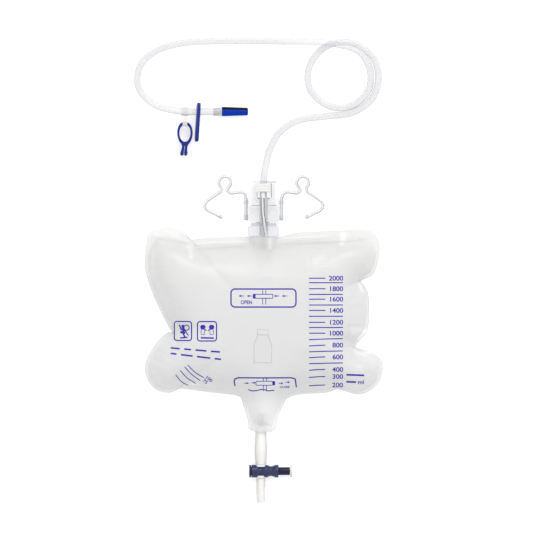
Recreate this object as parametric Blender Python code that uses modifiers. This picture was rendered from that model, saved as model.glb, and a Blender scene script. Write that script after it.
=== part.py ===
"""A two-litre urine drainage bag with its inlet tube, hanger, swivel hooks and push-pull outlet tap.

It lies on its back as it would on a table: +X is the bag's right, +Y its top and +Z its front.
The origin is on the table, under the middle of the bag with its hanger and its outlet."""

import math

import bmesh
import bpy
from mathutils import Matrix, Vector

MM = 0.001
GAP = 0.3 * MM  # clearance between pieces that seat on each other
SEAT_Z = 7.1 * MM  # height of the weld seam, of the ports and of the tap's axis
ROUND_STEPS = 24
SPOOL_STEPS = 20
SMALL_STEPS = 12

# Bag: two films welded at the rim. The lists give the rim's left and right sides from top to bottom.
FILM = 0.4 * MM
BAG_TOP_Y = 112 * MM
LEFT_RIM = [
    (-59, 111), (-79.5, 109), (-85.5, 115), (-96.5, 120), (-107, 122.5), (-117, 120),
    (-126.5, 114.5), (-129, 103), (-130.8, 85), (-129, 70), (-122, 49), (-111.5, 26),
    (-103, 10.5), (-100.5, 8), (-108.5, 5), (-118, -4.5), (-128, -21), (-130.8, -32.5),
    (-127.5, -45.5), (-118.5, -56), (-106, -59.5), (-97.5, -58), (-91.5, -55), (-64.5, -58.5),
    (-34.5, -62), (-25.5, -65), (-23, -73), (-18, -88), (-17, -98.8),
]
RIGHT_RIM = [
    (37, 116.5), (73, 118.5), (109, 119.5), (118.5, 117), (125.5, 109), (127.5, 98.5),
    (125, 82), (120, 70), (112.5, 66.5), (107, 63), (110, 59), (115, 49), (116, 29),
    (114, 9), (106, -1.5), (101, -8), (103, -10), (116, -14.5), (127.5, -21.5),
    (130.8, -32.5), (127.5, -46), (118, -56.5), (104.5, -61.5), (91, -58.5), (80.5, -56),
    (68.5, -59.5), (40, -61.5), (26.5, -65.5), (22, -72), (16, -85.5), (13, -98.8),
]
NECK_END = (0.5 * MM, -102.5 * MM)  # the middle of the neck's lower edge
NECK_END_HALF = 8.6 * MM
BAG_MIDDLE = Vector((0, 20 * MM))  # the point that the whole rim can be seen from
SIDE_WELD = 4 * MM
TOP_WELD = 9 * MM
TOP_WELD_FROM_Y = 90 * MM
FRONT_RISE = 39 * MM  # of the filled bag's front above its seam
BACK_DROP = 42 * MM  # how far the back would sag if nothing held it up
FILL_REACH = 66 * MM  # how far inside the rim the bag is at its full depth
INSET_FLOOR = 0.01 * MM
SEAM_LIFT = 8 * MM  # of the side seams above the ports
SEAM_LIFT_AT = 110 * MM
FRONT_RINGS = (0, 0.04, 0.1, 0.19, 0.32, 0.5, 0.74, 1)
BACK_RINGS = (0, 0.03, 0.08, 0.17, 0.35, 1)
CREASES = [  # (x, y, depth, width) where the rim is drawn in and the film folds, in mm
    (-100.5, 8, 7, 7), (107, 63, 5, 6), (101, -8, 7, 7), (-81, 100, 3, 6), (85, 108, 2.5, 5),
    (-91.5, -55, 5, 6), (80.5, -56, 4, 6),
]
CREASE_LENGTH = 22 * MM

# Inlet port: a moulded block on the bag's top edge, with a flat oval stub between the films.
PORT_HALF_WIDTH = 17.2 * MM
PORT_HEIGHT = 11.2 * MM
PORT_HALF_DEPTH = 6.2 * MM
STUB_HALF_WIDTH = 13 * MM
STUB_HALF_DEPTH = 4.6 * MM
STUB_LENGTH = 14.5 * MM
STUB_BORE_R = 3 * MM
STUB_PLAY = 2.4 * MM  # of the films beyond the stubs' narrow sides
SOCKET_DEPTH = 13 * MM
RIM_HEIGHT = 3 * MM
FLAP_WIDTH = 22 * MM
FLAP_LENGTH = 36 * MM
FLAP_THICK = 0.8 * MM
FLAP_SAG = 4 * MM
INLET_EASE = 13.8 * MM  # below the inlet's stub, over which the films close again
OUTLET_EASE = 13.8 * MM  # the same, above the outlet's stub

# Hanger bracket, seen from the front: a lip, a narrow upper body, a wide lower body and a waist.
WALL = 1.3 * MM
WAIST_HALF = 15 * MM
WAIST_HEIGHT = 4.3 * MM
BODY_HALF = 16.9 * MM
BODY_HEIGHT = 29.5 * MM
SHOULDER = 3 * MM
UPPER_HALF = 13.9 * MM
UPPER_HEIGHT = 11.2 * MM
LIP_OVERHANG = 0.6 * MM
LIP_HEIGHT = 1.8 * MM
CROSS_RIB_DROP = 8.8 * MM  # of the cross rib's lower face below the window
CROSS_RIB = 1.4 * MM
WINDOW_HALF = 8 * MM
WINDOW_HEIGHT = 6.3 * MM
STIFFENER_X = 12.1 * MM
STIFFENER = 1 * MM
EYE_HEIGHT = 4.4 * MM
EYE_WALL = 0.8 * MM
LOW_EYE_UP = 7.9 * MM
HIGH_EYE_UP = 24 * MM

# Inlet: the ribbed connector in the bracket's window, its drip nozzle and the chamber below it.
CONNECTOR_HALF_WIDTH = WINDOW_HALF - GAP
CONNECTOR_HEIGHT = 9.4 * MM
CONNECTOR_ROOM = 1.1 * MM  # between the connector's top and the bracket's lip
CONNECTOR_PROUD = 0.5 * MM
CONNECTOR_RIBS = 4
RIB_PROUD = 0.5 * MM
TUBE_SOCKET_DEPTH = 7.6 * MM
NOZZLE_R = 3 * MM
NOZZLE_BORE_R = 1.8 * MM
NOZZLE_LENGTH = 10.2 * MM
CHAMBER_R = 4.6 * MM
CHAMBER_WALL = 1 * MM
NOZZLE_IN_CHAMBER = 3.4 * MM

# Hooks: bent rods that swivel on their legs in the bracket's eyes. Points are from the leg's axis,
# along the bag's side and up from the foot, in mm.
ROD_R = 1.9 * MM
FOOT_R = 2.3 * MM
FOOT_HEIGHT = 1.2 * MM
HOOK_AXIS_X = BODY_HALF + GAP + FOOT_R
HOOK_LEG = [(0, 0.9), (0, 8), (0, 16), (0, 21), (0.2, 24.3), (1.9, 28.9)]
HOOK_RUN = [(5.8, 31.1), (15.7, 29.9), (19, 31), (20.7, 33.6)]
LOOP_CENTRE = (23.3, 41.6)
LOOP_R = 6.6
LOOP_FROM, LOOP_TO, LOOP_POINTS = -42, 226, 11
HOOK_ARM = [
    (27.4, 32.8), (30.2, 30), (36.6, 25.7), (43, 21), (45.5, 17.4), (45.2, 13.9),
    (41.9, 10.4), (35.7, 7.6), (30.4, 4.8), (27.6, 3.4),
]
HOOK_TIP_R = 2.3 * MM
HOOK_POINT_SPACING = 4.1 * MM

# Outlet: the port in the neck, its tube, the tap and the spout, all on one axis.
OUTLET_X = -3.2 * MM
OUTLET_STUB_HALF_WIDTH = 9.1 * MM
OUTLET_STUB_HALF_DEPTH = 6.1 * MM
OUTLET_STUB_LENGTH = 16.2 * MM
OUTLET_STUB_INSET = 5.6 * MM  # of the stub's lower end above the neck's end
OUTLET_BORE_R = 3.2 * MM
SPIGOT_LENGTH = 15 * MM
OUTLET_TUBE_WALL = 1.25 * MM
OUTLET_TUBE_TOP_R = 6.1 * MM
OUTLET_TUBE_MIDDLE_R = 7 * MM
OUTLET_TUBE_END_R = 6 * MM
OUTLET_TUBE_LENGTH = 41 * MM
BARREL_R = SEAT_Z
BARREL_LEFT = 10.4 * MM  # from the outlet's axis to the barrel's left end
BARREL_LAND = 1.85 * MM  # between the last flute and the barrel's right edge
BARREL_EDGE = 0.6 * MM
BARREL_BORE_R = 4.8 * MM
FLUTE_DEPTH = 1.7 * MM
FLUTE_PITCH = 11.3 * MM  # the first of the flutes round the barrel is on the outlet's axis
FLUTES = 2
FLUTE_STEPS = 5
TAP_STUB_LENGTH = 17.5 * MM
TAP_STUB_BORE_R = 2.4 * MM
SPOUT_R = 4.9 * MM
SPOUT_FOOT_R = 4.3 * MM
SPOUT_WALL = 1.3 * MM
SPOUT_LENGTH = 26.7 * MM
SPOUT_TAPER = 9 * MM
SPOUT_STUB_BORE_R = 1.8 * MM
SPOOL_R = 4.4 * MM
SPOOL_TRAVEL = 12.4 * MM
HEAD_R = 6.9 * MM
HEAD_THICK = 2.1 * MM
BUTTON_R = 6.5 * MM
BUTTON_THICK = 2.6 * MM
BUTTON_SOCKET_R = 2.2 * MM
BUTTON_SOCKET_DEPTH = 4 * MM
SEAL_WIRE_R = 0.5 * MM
SEAL_OFFSET = 4.9 * MM  # of the seals on either side of a port
WAIST_R = 2.6 * MM
WAIST_LENGTH = 6.6 * MM

# Pocket on the front film that holds the spout when the outlet is folded up.
POCKET_FILM = 0.3 * MM
POCKET_X = -1.1 * MM
POCKET_MOUTH_Y = 10.2 * MM
POCKET_MOUTH_HALF = 5.9 * MM
POCKET_SHOULDER_Y = 4.5 * MM
POCKET_HALF = 9.6 * MM
POCKET_WAIST_Y = -7.7 * MM
POCKET_FOOT_Y = -26 * MM

# Drainage tube: its route from above the bracket to the patient's end, in mm.
TUBE_R = 3.7 * MM
TUBE_LEAD = 2.4 * MM  # of straight tube above the bracket
TUBE_ROUTE = [
    (2, 189, 6.6), (7, 209, 4.6), (19, 228.5, 3.8), (40, 240.5, 3.8), (68.5, 244.5, 3.8),
    (97, 248.5, 3.8), (118.5, 263, 3.8), (126.5, 285.5, 3.8), (121, 308.5, 3.8),
    (103, 323.5, 3.8), (80.5, 325.5, 3.8), (62, 316.5, 3.8), (49.5, 297, 3.8),
    (51.5, 273.5, 3.8), (71.5, 256, 3.8), (96, 256, 3.8), (114.5, 272, 3.8),
    (117.5, 293, 4.5), (109, 311.5, 7.5), (95.5, 320, 10.9), (70.5, 325, 11.8),
    (53, 326.5, 9.8), (37.5, 327, 6.9), (20, 327, 4.5), (2.5, 327.5, 3.8),
    (-46, 327.5, 3.8), (-86.5, 325.5, 3.8), (-117.5, 317, 3.8), (-136, 300, 3.8),
    (-137.5, 275.5, 3.9), (-119.5, 257, 5.6), (-92, 250, 8), (-72.5, 249.5, 8.1),
    (-60, 249.5, 7.5), (-48.4, 249.5, 6.6),
]
TUBE_POINT_SPACING = 16 * MM

# Patient's end: the stepped connector and its cap, on an axis that slopes down to the table.
END_START = Vector((-55.2, 249.5, 7.12)) * MM
END_SLOPE = math.radians(4.4)
SLEEVE_R = 4.5 * MM
SLEEVE_END_R = 4.9 * MM
SLEEVE_LENGTH = 7.4 * MM
COLLAR_LENGTH = 1.5 * MM
NOSE_R = 3.6 * MM
NOSE_TIP_R = 2.5 * MM
NOSE_LENGTH = 24.4 * MM
NOSE_STEPS = 3
NOSE_TAPER = 0.25 * MM  # of each step over its length
CONNECTOR_BORE_R = 1.7 * MM
CAP_WALL = 1 * MM
CAP_END_WALL = 1.4 * MM
CAP_LENGTH = 28.6 * MM

# Slide clamp: an upright plate with a keyhole that pinches the tube.
CLAMP_AT = Vector((-72.7, 249.5, 8.1)) * MM
CLAMP_LEAN = math.radians(3.4)
CLAMP_ROLL = math.radians(6)
CLAMP_THICK = 3.3 * MM
CLAMP_WIDTH = 15.6 * MM
CLAMP_ABOVE = 9.7 * MM
CLAMP_BELOW = 33 * MM
CLAMP_CORNER_R = 5 * MM
CLAMP_HOLE_R = 4.4 * MM
CLAMP_SLOT = 2.6 * MM
CLAMP_SLOT_END = 23.5 * MM

# Sheet clip and its strap. The clip's outline is in mm from its bar's axis, right half, top to bottom.
CLIP_BAR = Vector((-86.7, 236, 6.3)) * MM
CLIP_WIDTH = 12 * MM
CLIP_OUTER = [
    (0, 1.5), (3.4, 1.6), (5.8, -0.4), (7.6, -3.9), (8.4, -8.7), (8, -14), (6.3, -18.9),
    (4, -22.3), (3, -24.8), (3.2, -28), (3.9, -31.6), (3.8, -33.7), (2.6, -34.9), (1, -34.6),
    (0.35, -33), (0.3, -24),
]
CLIP_INNER = [
    (0, -1.2), (3.2, -2), (5.3, -4.9), (6.1, -8.9), (5.7, -13.4), (4, -17.3), (1.6, -19.3), (0, -19.6),
]
CLIP_BAR_R = 1.3 * MM
CLIP_BAR_HALF = 2.6 * MM
STRAP_COLLAR_LENGTH = 7.8 * MM
STRAP_COLLAR_WALL = 0.8 * MM
STRAP_COLLAR_PLAY = 0.5 * MM
STRAP_COLLAR_AT = Vector((-86.7, 249.8, 8.05)) * MM
STRAP_LOOP_WALL = 1.1 * MM
STRAP_LOOP_LENGTH = 4 * MM
STRAP_STEM_R = 1.2 * MM

# Places that follow from the sizes above.
BRACKET_FOOT_Y = BAG_TOP_Y + GAP + PORT_HEIGHT + GAP
BRACKET_TOP_Y = BRACKET_FOOT_Y + WAIST_HEIGHT + BODY_HEIGHT + SHOULDER + UPPER_HEIGHT + LIP_HEIGHT
CONNECTOR_TOP_Y = BRACKET_TOP_Y - LIP_HEIGHT - CONNECTOR_ROOM
CONNECTOR_Y = CONNECTOR_TOP_Y - CONNECTOR_HEIGHT
WINDOW_Y = CONNECTOR_Y - WINDOW_HEIGHT
CROSS_RIB_Y = WINDOW_Y - CROSS_RIB_DROP
NOZZLE_TIP_Y = CONNECTOR_Y - NOZZLE_LENGTH
CHAMBER_TOP_Y = NOZZLE_TIP_Y + NOZZLE_IN_CHAMBER
SOCKET_FLOOR_Y = BRACKET_FOOT_Y + RIM_HEIGHT - SOCKET_DEPTH
CHAMBER_FOOT_Y = SOCKET_FLOOR_Y + GAP
STUB_FOOT_Y = BAG_TOP_Y + GAP - STUB_LENGTH
HOOK_FOOT_Y = BRACKET_FOOT_Y + LOW_EYE_UP - GAP - FOOT_HEIGHT
OUTLET_STUB_FOOT_Y = NECK_END[1] + OUTLET_STUB_INSET
OUTLET_TUBE_TOP_Y = OUTLET_STUB_FOOT_Y - GAP
OUTLET_TUBE_END_Y = OUTLET_TUBE_TOP_Y - OUTLET_TUBE_LENGTH
TAP_SHOULDER = BARREL_R + GAP  # of the stubs' shoulders from the tap's axis
TAP_Y = OUTLET_TUBE_END_Y - GAP - TAP_SHOULDER
SPOUT_TOP_Y = TAP_Y - TAP_SHOULDER - GAP
SEAL_R = BARREL_BORE_R - GAP - SEAL_WIRE_R
GROOVE_R = SEAL_R - SEAL_WIRE_R - GAP
BARREL_RIGHT = (FLUTES - 0.5) * FLUTE_PITCH + BARREL_LAND + BARREL_EDGE
SPOOL_HEAD_X = OUTLET_X - BARREL_LEFT - GAP
SPOOL_END_X = OUTLET_X + BARREL_RIGHT + SPOOL_TRAVEL

TO_Y = Matrix.Rotation(-math.pi / 2, 4, "X")  # turns a shape made along Z so that it runs along +Y
TO_X = Matrix.Rotation(math.pi / 2, 4, "Y")  # the same, along +X
HALF_STEP = Matrix.Rotation(math.pi / ROUND_STEPS, 4, "Z")  # keeps the edges of two turned shapes apart


def clear_scene():
    for obj in list(bpy.data.objects):
        bpy.data.objects.remove(obj)


def new_collection(name):
    made = bpy.data.collections.new(name)
    bpy.context.scene.collection.children.link(made)
    return made


def plastic(name, colour, roughness, alpha=1.0):
    material = bpy.data.materials.new(name)
    material.use_nodes = True
    shader = material.node_tree.nodes["Principled BSDF"]
    shader.inputs["Base Color"].default_value = (*colour, 1)
    shader.inputs["Roughness"].default_value = roughness
    shader.inputs["Metallic"].default_value = 0
    shader.inputs["Alpha"].default_value = alpha
    material.diffuse_color = (*colour, alpha)
    return material


clear_scene()
PARTS = new_collection("urine_drainage_bag")
CUTTERS = new_collection("cutters")
CLEAR_FILM = plastic("clear_film", (0.84, 0.84, 0.85), 0.35, 0.5)
CLEAR_MOULDED = plastic("clear_moulded", (0.88, 0.89, 0.92), 0.2, 0.6)
CLEAR_TUBE = plastic("clear_tube", (0.86, 0.86, 0.87), 0.2, 0.6)
WHITE = plastic("white_plastic", (0.93, 0.93, 0.94), 0.35)
SOFT_BLUSH = plastic("soft_blush", (0.9, 0.78, 0.72), 0.45, 0.8)
BLUE = plastic("blue_plastic", (0.01, 0.04, 0.35), 0.35)
BRIGHT_BLUE = plastic("bright_blue_plastic", (0.005, 0.05, 0.5), 0.3)
NAVY = plastic("navy_plastic", (0.03, 0.05, 0.15), 0.4)
DARK_VIOLET = plastic("dark_violet_plastic", (0.02, 0.012, 0.045), 0.35)
BLACK_RUBBER = plastic("black_rubber", (0.02, 0.02, 0.02), 0.6)


def add_object(name, data, matrix=None, material=None, collection=PARTS):
    made = bpy.data.objects.new(name, data)
    collection.objects.link(made)
    made.matrix_world = matrix or Matrix.Identity(4)
    if material:
        data.materials.append(material)
    return made


def mesh_from(name, build, closed=True):
    """A new mesh filled by build(bm). An open sheet keeps the side that its faces are built to show."""
    mesh = bpy.data.meshes.new(name)
    shape = bmesh.new()
    build(shape)
    if closed:
        bmesh.ops.recalc_face_normals(shape, faces=shape.faces)
    shape.to_mesh(mesh)
    shape.free()
    return mesh


def shade_round(mesh):
    mesh.shade_smooth()
    mesh.set_sharp_from_angle(angle=math.radians(35))


def as_mesh(curve_object):
    """The mesh object that takes a curve object's place, with its loose caps welded."""
    bpy.context.view_layer.update()
    graph = bpy.context.evaluated_depsgraph_get()
    mesh = bpy.data.meshes.new_from_object(curve_object.evaluated_get(graph))
    shape = bmesh.new()
    shape.from_mesh(mesh)
    bmesh.ops.remove_doubles(shape, verts=shape.verts, dist=0.001 * MM)
    bmesh.ops.recalc_face_normals(shape, faces=shape.faces)
    shape.to_mesh(mesh)
    shape.free()
    name = curve_object.name
    matrix = curve_object.matrix_world.copy()
    collection = curve_object.users_collection[0]
    bpy.data.objects.remove(curve_object)
    return add_object(name, mesh, matrix, collection=collection)


def box(name, low, high, material=None):
    """A block between two corners."""
    low, high = Vector(low), Vector(high)
    place = Matrix.Translation((low + high) / 2) @ Matrix.Diagonal((*(high - low), 1))
    mesh = mesh_from(name, lambda shape: bmesh.ops.create_cube(shape, size=1, matrix=place))
    return add_object(name, mesh, material=material)


def turned(name, profile, matrix, material=None, steps=ROUND_STEPS):
    """A turned piece: (radius, height) points down the outer side, and back up the bore if it has one."""
    hollow = profile[-1][0] > 0

    def build(shape):
        points = [shape.verts.new((radius, 0, height)) for radius, height in profile]
        for first, second in zip(points, points[1:] + points[:1] if hollow else points[1:]):
            shape.edges.new((first, second))

    mesh = bpy.data.meshes.new(name)
    shape = bmesh.new()
    build(shape)
    shape.to_mesh(mesh)
    shape.free()
    made = add_object(name, mesh, matrix, material)
    screw = made.modifiers.new("turn", "SCREW")
    screw.steps = screw.render_steps = steps
    screw.use_merge_vertices = True
    screw.merge_threshold = 0.01 * MM
    return made


def rod_profile(radius, low, high):
    return [(0, high), (radius, high), (radius, low), (0, low)]


def pipe_profile(outer, inner, low, high):
    return [(outer, high), (outer, low), (inner, low), (inner, high)]


def rod(name, points, radius, matrix=None, material=None, sides=3):
    """A round bar along a list of points."""
    curve = bpy.data.curves.new(name, "CURVE")
    curve.dimensions = "3D"
    curve.bevel_depth = radius
    curve.bevel_resolution = sides
    curve.use_fill_caps = True
    spline = curve.splines.new("POLY")
    spline.points.add(len(points) - 1)
    for knot, point in zip(spline.points, points):
        knot.co = (*point, 1)
    return add_object(name, curve, matrix, material)


def plate(name, outlines, thickness, matrix=None, material=None):
    """A flat mesh plate, centred on its own XY plane. Outlines after the first are holes."""
    curve = bpy.data.curves.new(name, "CURVE")
    curve.dimensions = "2D"
    curve.fill_mode = "BOTH"
    curve.extrude = thickness / 2
    for outline in outlines:
        spline = curve.splines.new("POLY")
        spline.use_cyclic_u = True
        spline.points.add(len(outline) - 1)
        for knot, (x, y) in zip(spline.points, outline):
            knot.co = (x, y, 0, 1)
    return as_mesh(add_object(name, curve, matrix, material))


def combine(target, other, operation):
    """Joins another object to the target, or cuts it away, with an exact Boolean."""
    for collection in other.users_collection:
        collection.objects.unlink(other)
    CUTTERS.objects.link(other)
    other.hide_render = True
    other.display_type = "WIRE"
    step = target.modifiers.new(other.name, "BOOLEAN")
    step.operation = operation
    step.object = other
    return target


def cut(target, *others):
    for other in others:
        combine(target, other, "DIFFERENCE")
    return target


def join(target, *others):
    for other in others:
        combine(target, other, "UNION")
    return target


def soften(target, width, segments=2):
    step = target.modifiers.new("soft_edges", "BEVEL")
    step.width = width
    step.segments = segments
    step.limit_method = "ANGLE"
    step.angle_limit = math.radians(40)
    return target


def smooth_path(points, spacing):
    """Points about a spacing apart along the smooth curve through the given ones."""
    points = [Vector(point) for point in points]
    padded = [2 * points[0] - points[1], *points, 2 * points[-1] - points[-2]]
    fine = []
    for before, start, end, after in zip(padded, padded[1:], padded[2:], padded[3:]):
        for step in range(20):
            t = step / 20
            fine.append(
                (2 * start + (end - before) * t + (2 * before - 5 * start + 4 * end - after) * t**2
                 + (3 * start - before - 3 * end + after) * t**3) / 2
            )
    fine.append(points[-1])
    lengths = [0.0]
    for first, second in zip(fine, fine[1:]):
        lengths.append(lengths[-1] + (second - first).length)
    count = max(2, round(lengths[-1] / spacing))
    path, at = [], 0
    for index in range(count + 1):
        wanted = lengths[-1] * index / count
        while at < len(lengths) - 2 and lengths[at + 1] < wanted:
            at += 1
        share = (wanted - lengths[at]) / (lengths[at + 1] - lengths[at])
        path.append(fine[at].lerp(fine[at + 1], min(1, share)))
    return path


def bag_rim():
    """The bag's outline, anticlockwise from the middle of its top edge."""
    top = [(PORT_HALF_WIDTH * share, BAG_TOP_Y) for share in (1.03, 0.5, 0, -0.5, -1.03)]
    foot = [(NECK_END[0] + NECK_END_HALF * share, NECK_END[1]) for share in (-1, -0.5, 0, 0.5, 1)]
    left = [(x * MM, y * MM) for x, y in LEFT_RIM]
    right = [(x * MM, y * MM) for x, y in reversed(RIGHT_RIM)]
    return [Vector(point) for point in [*top[2:], *left, *foot, *right, *top[:2]]]


RIM = bag_rim()


def inset(point):
    """How far inside the rim a point is. It is the distance to a straight edge, and smooth elsewhere."""
    total = 0.0
    for first, second in zip(RIM, RIM[1:] + RIM[:1]):
        along = (second - first).normalized()
        start, end = (first - point).dot(along), (second - point).dot(along)
        aside = max(INSET_FLOOR, abs(along.cross(first - point)))
        total += (end / math.hypot(aside, end) - start / math.hypot(aside, start)) / (2 * aside**2)
    return 1 / math.sqrt(total)


def ease(value, low, high):
    share = max(0, min(1, (value - low) / (high - low)))
    return share * share * (3 - 2 * share)


def seam_height(point):
    return SEAT_Z + SEAM_LIFT * min(1, (point.x / SEAM_LIFT_AT) ** 2)


def fullness(point):
    """How filled the bag is at a point, from 0 on its weld to 1 in its middle."""
    weld = SIDE_WELD + (TOP_WELD - SIDE_WELD) * ease(point.y, TOP_WELD_FROM_Y, BAG_TOP_Y)
    share = max(0, min(1, (inset(point) - weld) / FILL_REACH))
    return (1 - (1 - share) ** 2.6) ** 0.75


def crease_depth(point):
    """How far the front film is drawn down by the folds that run in from the rim."""
    total = 0
    for x, y, depth, width in CREASES:
        start = Vector((x, y)) * MM
        inward = (BAG_MIDDLE - start).normalized()
        along = (point - start).dot(inward)
        aside = (point - start - inward * along).length
        if along > 0:
            total += depth * MM * math.exp(-((aside / (width * MM)) ** 2) - along / CREASE_LENGTH)
    return total


def oval(offset, half_width):
    return math.sqrt(max(0, 1 - (offset / half_width) ** 2))


def port_share(point):
    """How far the films open round the two ports, as shares of each port's half depth."""
    low = STUB_FOOT_Y - MM
    inlet = oval(point.x, STUB_HALF_WIDTH + STUB_PLAY) * ease(point.y, low - INLET_EASE, low)
    top = OUTLET_STUB_FOOT_Y + OUTLET_STUB_LENGTH
    neck = 1 - ease(point.y, top, top + OUTLET_EASE)
    outlet = oval(point.x - OUTLET_X, OUTLET_STUB_HALF_WIDTH + STUB_PLAY) * neck
    return inlet, outlet


def front_height(point):
    """Height of the front film's outer face."""
    inlet, outlet = port_share(point)
    clear = GAP + 0.6 * MM
    full = fullness(point)
    rise = max(0, FRONT_RISE * full - crease_depth(point) * min(1, 2 * full))
    around = max(inlet * (STUB_HALF_DEPTH + clear), outlet * (OUTLET_STUB_HALF_DEPTH + clear))
    return max(seam_height(point) + rise, seam_height(point) + around) + GAP / 2 + FILM


def back_height(point):
    """Height of the back film's outer face, which the table holds up."""
    drop = max(max(port_share(point)) * SEAT_Z, fullness(point) * BACK_DROP)
    return max(0, seam_height(point) - drop - GAP / 2 - FILM)


def film(name, height, rings, offset):
    """One film of the bag: rings of the rim's points drawn in to the middle, at their heights."""

    def build(shape):
        loops = []
        for share in rings[:-1]:
            flat = [point.lerp(BAG_MIDDLE, share) for point in RIM]
            loops.append([shape.verts.new((point.x, point.y, height(point))) for point in flat])
        top = shape.verts.new((*BAG_MIDDLE, height(BAG_MIDDLE)))
        for outer, inner in zip(loops, loops[1:]):
            for index in range(len(RIM)):
                after = (index + 1) % len(RIM)
                shape.faces.new((outer[index], outer[after], inner[after], inner[index]))
        for index, point in enumerate(loops[-1]):
            shape.faces.new((point, loops[-1][(index + 1) % len(RIM)], top))

    mesh = mesh_from(name, build, closed=False)
    mesh.shade_smooth()
    made = add_object(name, mesh, material=CLEAR_FILM)
    skin = made.modifiers.new("thickness", "SOLIDIFY")
    skin.thickness = FILM
    skin.offset = offset
    return made


def make_bag():
    film("front_film", front_height, FRONT_RINGS, -1)
    film("back_film", back_height, BACK_RINGS, 1)


def make_spout_pocket():
    """A patch of film that follows the bag's front, open at its mouth."""
    rows = [
        (POCKET_MOUTH_Y, POCKET_MOUTH_HALF), (POCKET_SHOULDER_Y, POCKET_MOUTH_HALF),
        (POCKET_WAIST_Y, POCKET_HALF), ((POCKET_WAIST_Y + POCKET_FOOT_Y) / 2, POCKET_HALF),
        (POCKET_FOOT_Y, POCKET_HALF),
    ]
    columns = (-1, -0.5, 0, 0.5, 1)

    def build(shape):
        grid = []
        for y, half in rows:
            flat = [Vector((POCKET_X + half * share, y)) for share in columns]
            grid.append(
                [shape.verts.new((p.x, p.y, front_height(p) + 3 * GAP + POCKET_FILM)) for p in flat]
            )
        for upper, lower in zip(grid, grid[1:]):
            for index in range(len(columns) - 1):
                shape.faces.new((upper[index], lower[index], lower[index + 1], upper[index + 1]))

    made = add_object("spout_pocket", mesh_from("spout_pocket", build, closed=False), material=CLEAR_FILM)
    skin = made.modifiers.new("thickness", "SOLIDIFY")
    skin.thickness = POCKET_FILM
    skin.offset = -1


def oval_stub(name, half_width, half_depth, low, high, x=0.0, ribs=2):
    """A flat oval plug between the films, turned with raised weld ribs and then flattened."""
    rib = 0.4 * MM
    pitch = (high - low) / (2 * ribs + 1)
    profile = [(0, high)]
    for index in range(2 * ribs + 1):
        radius = half_width - (rib if index % 2 == 0 else 0)
        profile += [(radius, high - index * pitch), (radius, high - (index + 1) * pitch)]
    profile.append((0, low))
    flatten = Matrix.Diagonal((1, 1, half_depth / half_width, 1))
    return turned(name, profile, Matrix.Translation((x, 0, SEAT_Z)) @ flatten @ TO_Y)


def upright(x):
    """The place of a piece turned round an axis that runs up the bag at x."""
    return Matrix.Translation((x, 0, SEAT_Z)) @ TO_Y


def make_inlet_port():
    foot = BAG_TOP_Y + GAP
    port = box(
        "inlet_port",
        (-PORT_HALF_WIDTH, foot, SEAT_Z - PORT_HALF_DEPTH),
        (PORT_HALF_WIDTH, foot + PORT_HEIGHT, SEAT_Z + PORT_HALF_DEPTH),
        CLEAR_MOULDED,
    )
    soften(port, 1.5 * MM)
    inner = WAIST_HALF - WALL - GAP
    deep = SEAT_Z - WALL - GAP
    rim = box(
        "port_rim",
        (-inner, foot + PORT_HEIGHT - MM, SEAT_Z - deep),
        (inner, BRACKET_FOOT_Y + RIM_HEIGHT, SEAT_Z + deep),
    )
    stub = oval_stub("port_stub", STUB_HALF_WIDTH, STUB_HALF_DEPTH, STUB_FOOT_Y, foot + MM)
    socket = turned(
        "port_socket",
        [
            (0, BRACKET_FOOT_Y + RIM_HEIGHT + MM),
            (CHAMBER_R + GAP, BRACKET_FOOT_Y + RIM_HEIGHT + MM),
            (CHAMBER_R + GAP, SOCKET_FLOOR_Y),
            (STUB_BORE_R, SOCKET_FLOOR_Y),
            (STUB_BORE_R, STUB_FOOT_Y - MM),
            (0, STUB_FOOT_Y - MM),
        ],
        upright(0),
    )
    join(port, rim, stub)
    cut(port, socket)


def make_anti_reflux_flap():
    """The flat sleeve that closes behind the inlet, sagging from the port to the bag's back."""
    top = STUB_FOOT_Y - GAP
    rows, columns = 6, (-1, 0, 1)

    def build(shape):
        grid = []
        for row in range(rows + 1):
            share = row / rows
            half = FLAP_WIDTH / 2 * (1 - 0.15 * share)
            z = SEAT_Z - FLAP_SAG * share * share
            grid.append([shape.verts.new((half * c, top - FLAP_LENGTH * share, z)) for c in columns])
        for upper, lower in zip(grid, grid[1:]):
            for index in range(len(columns) - 1):
                shape.faces.new((upper[index], lower[index], lower[index + 1], upper[index + 1]))

    mesh = mesh_from("anti_reflux_flap", build, closed=False)
    flap = add_object("anti_reflux_flap", mesh, material=CLEAR_FILM)
    skin = flap.modifiers.new("thickness", "SOLIDIFY")
    skin.thickness = FLAP_THICK
    skin.offset = 0


def bracket_outline():
    right = [
        (WAIST_HALF, BRACKET_FOOT_Y),
        (WAIST_HALF, BRACKET_FOOT_Y + WAIST_HEIGHT),
        (BODY_HALF, BRACKET_FOOT_Y + WAIST_HEIGHT + 1.5 * MM),
        (BODY_HALF, BRACKET_FOOT_Y + WAIST_HEIGHT + BODY_HEIGHT),
        (UPPER_HALF, BRACKET_FOOT_Y + WAIST_HEIGHT + BODY_HEIGHT + SHOULDER),
        (UPPER_HALF, BRACKET_TOP_Y - MM),
    ]
    return right + [(-x, y) for x, y in reversed(right)]


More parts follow.
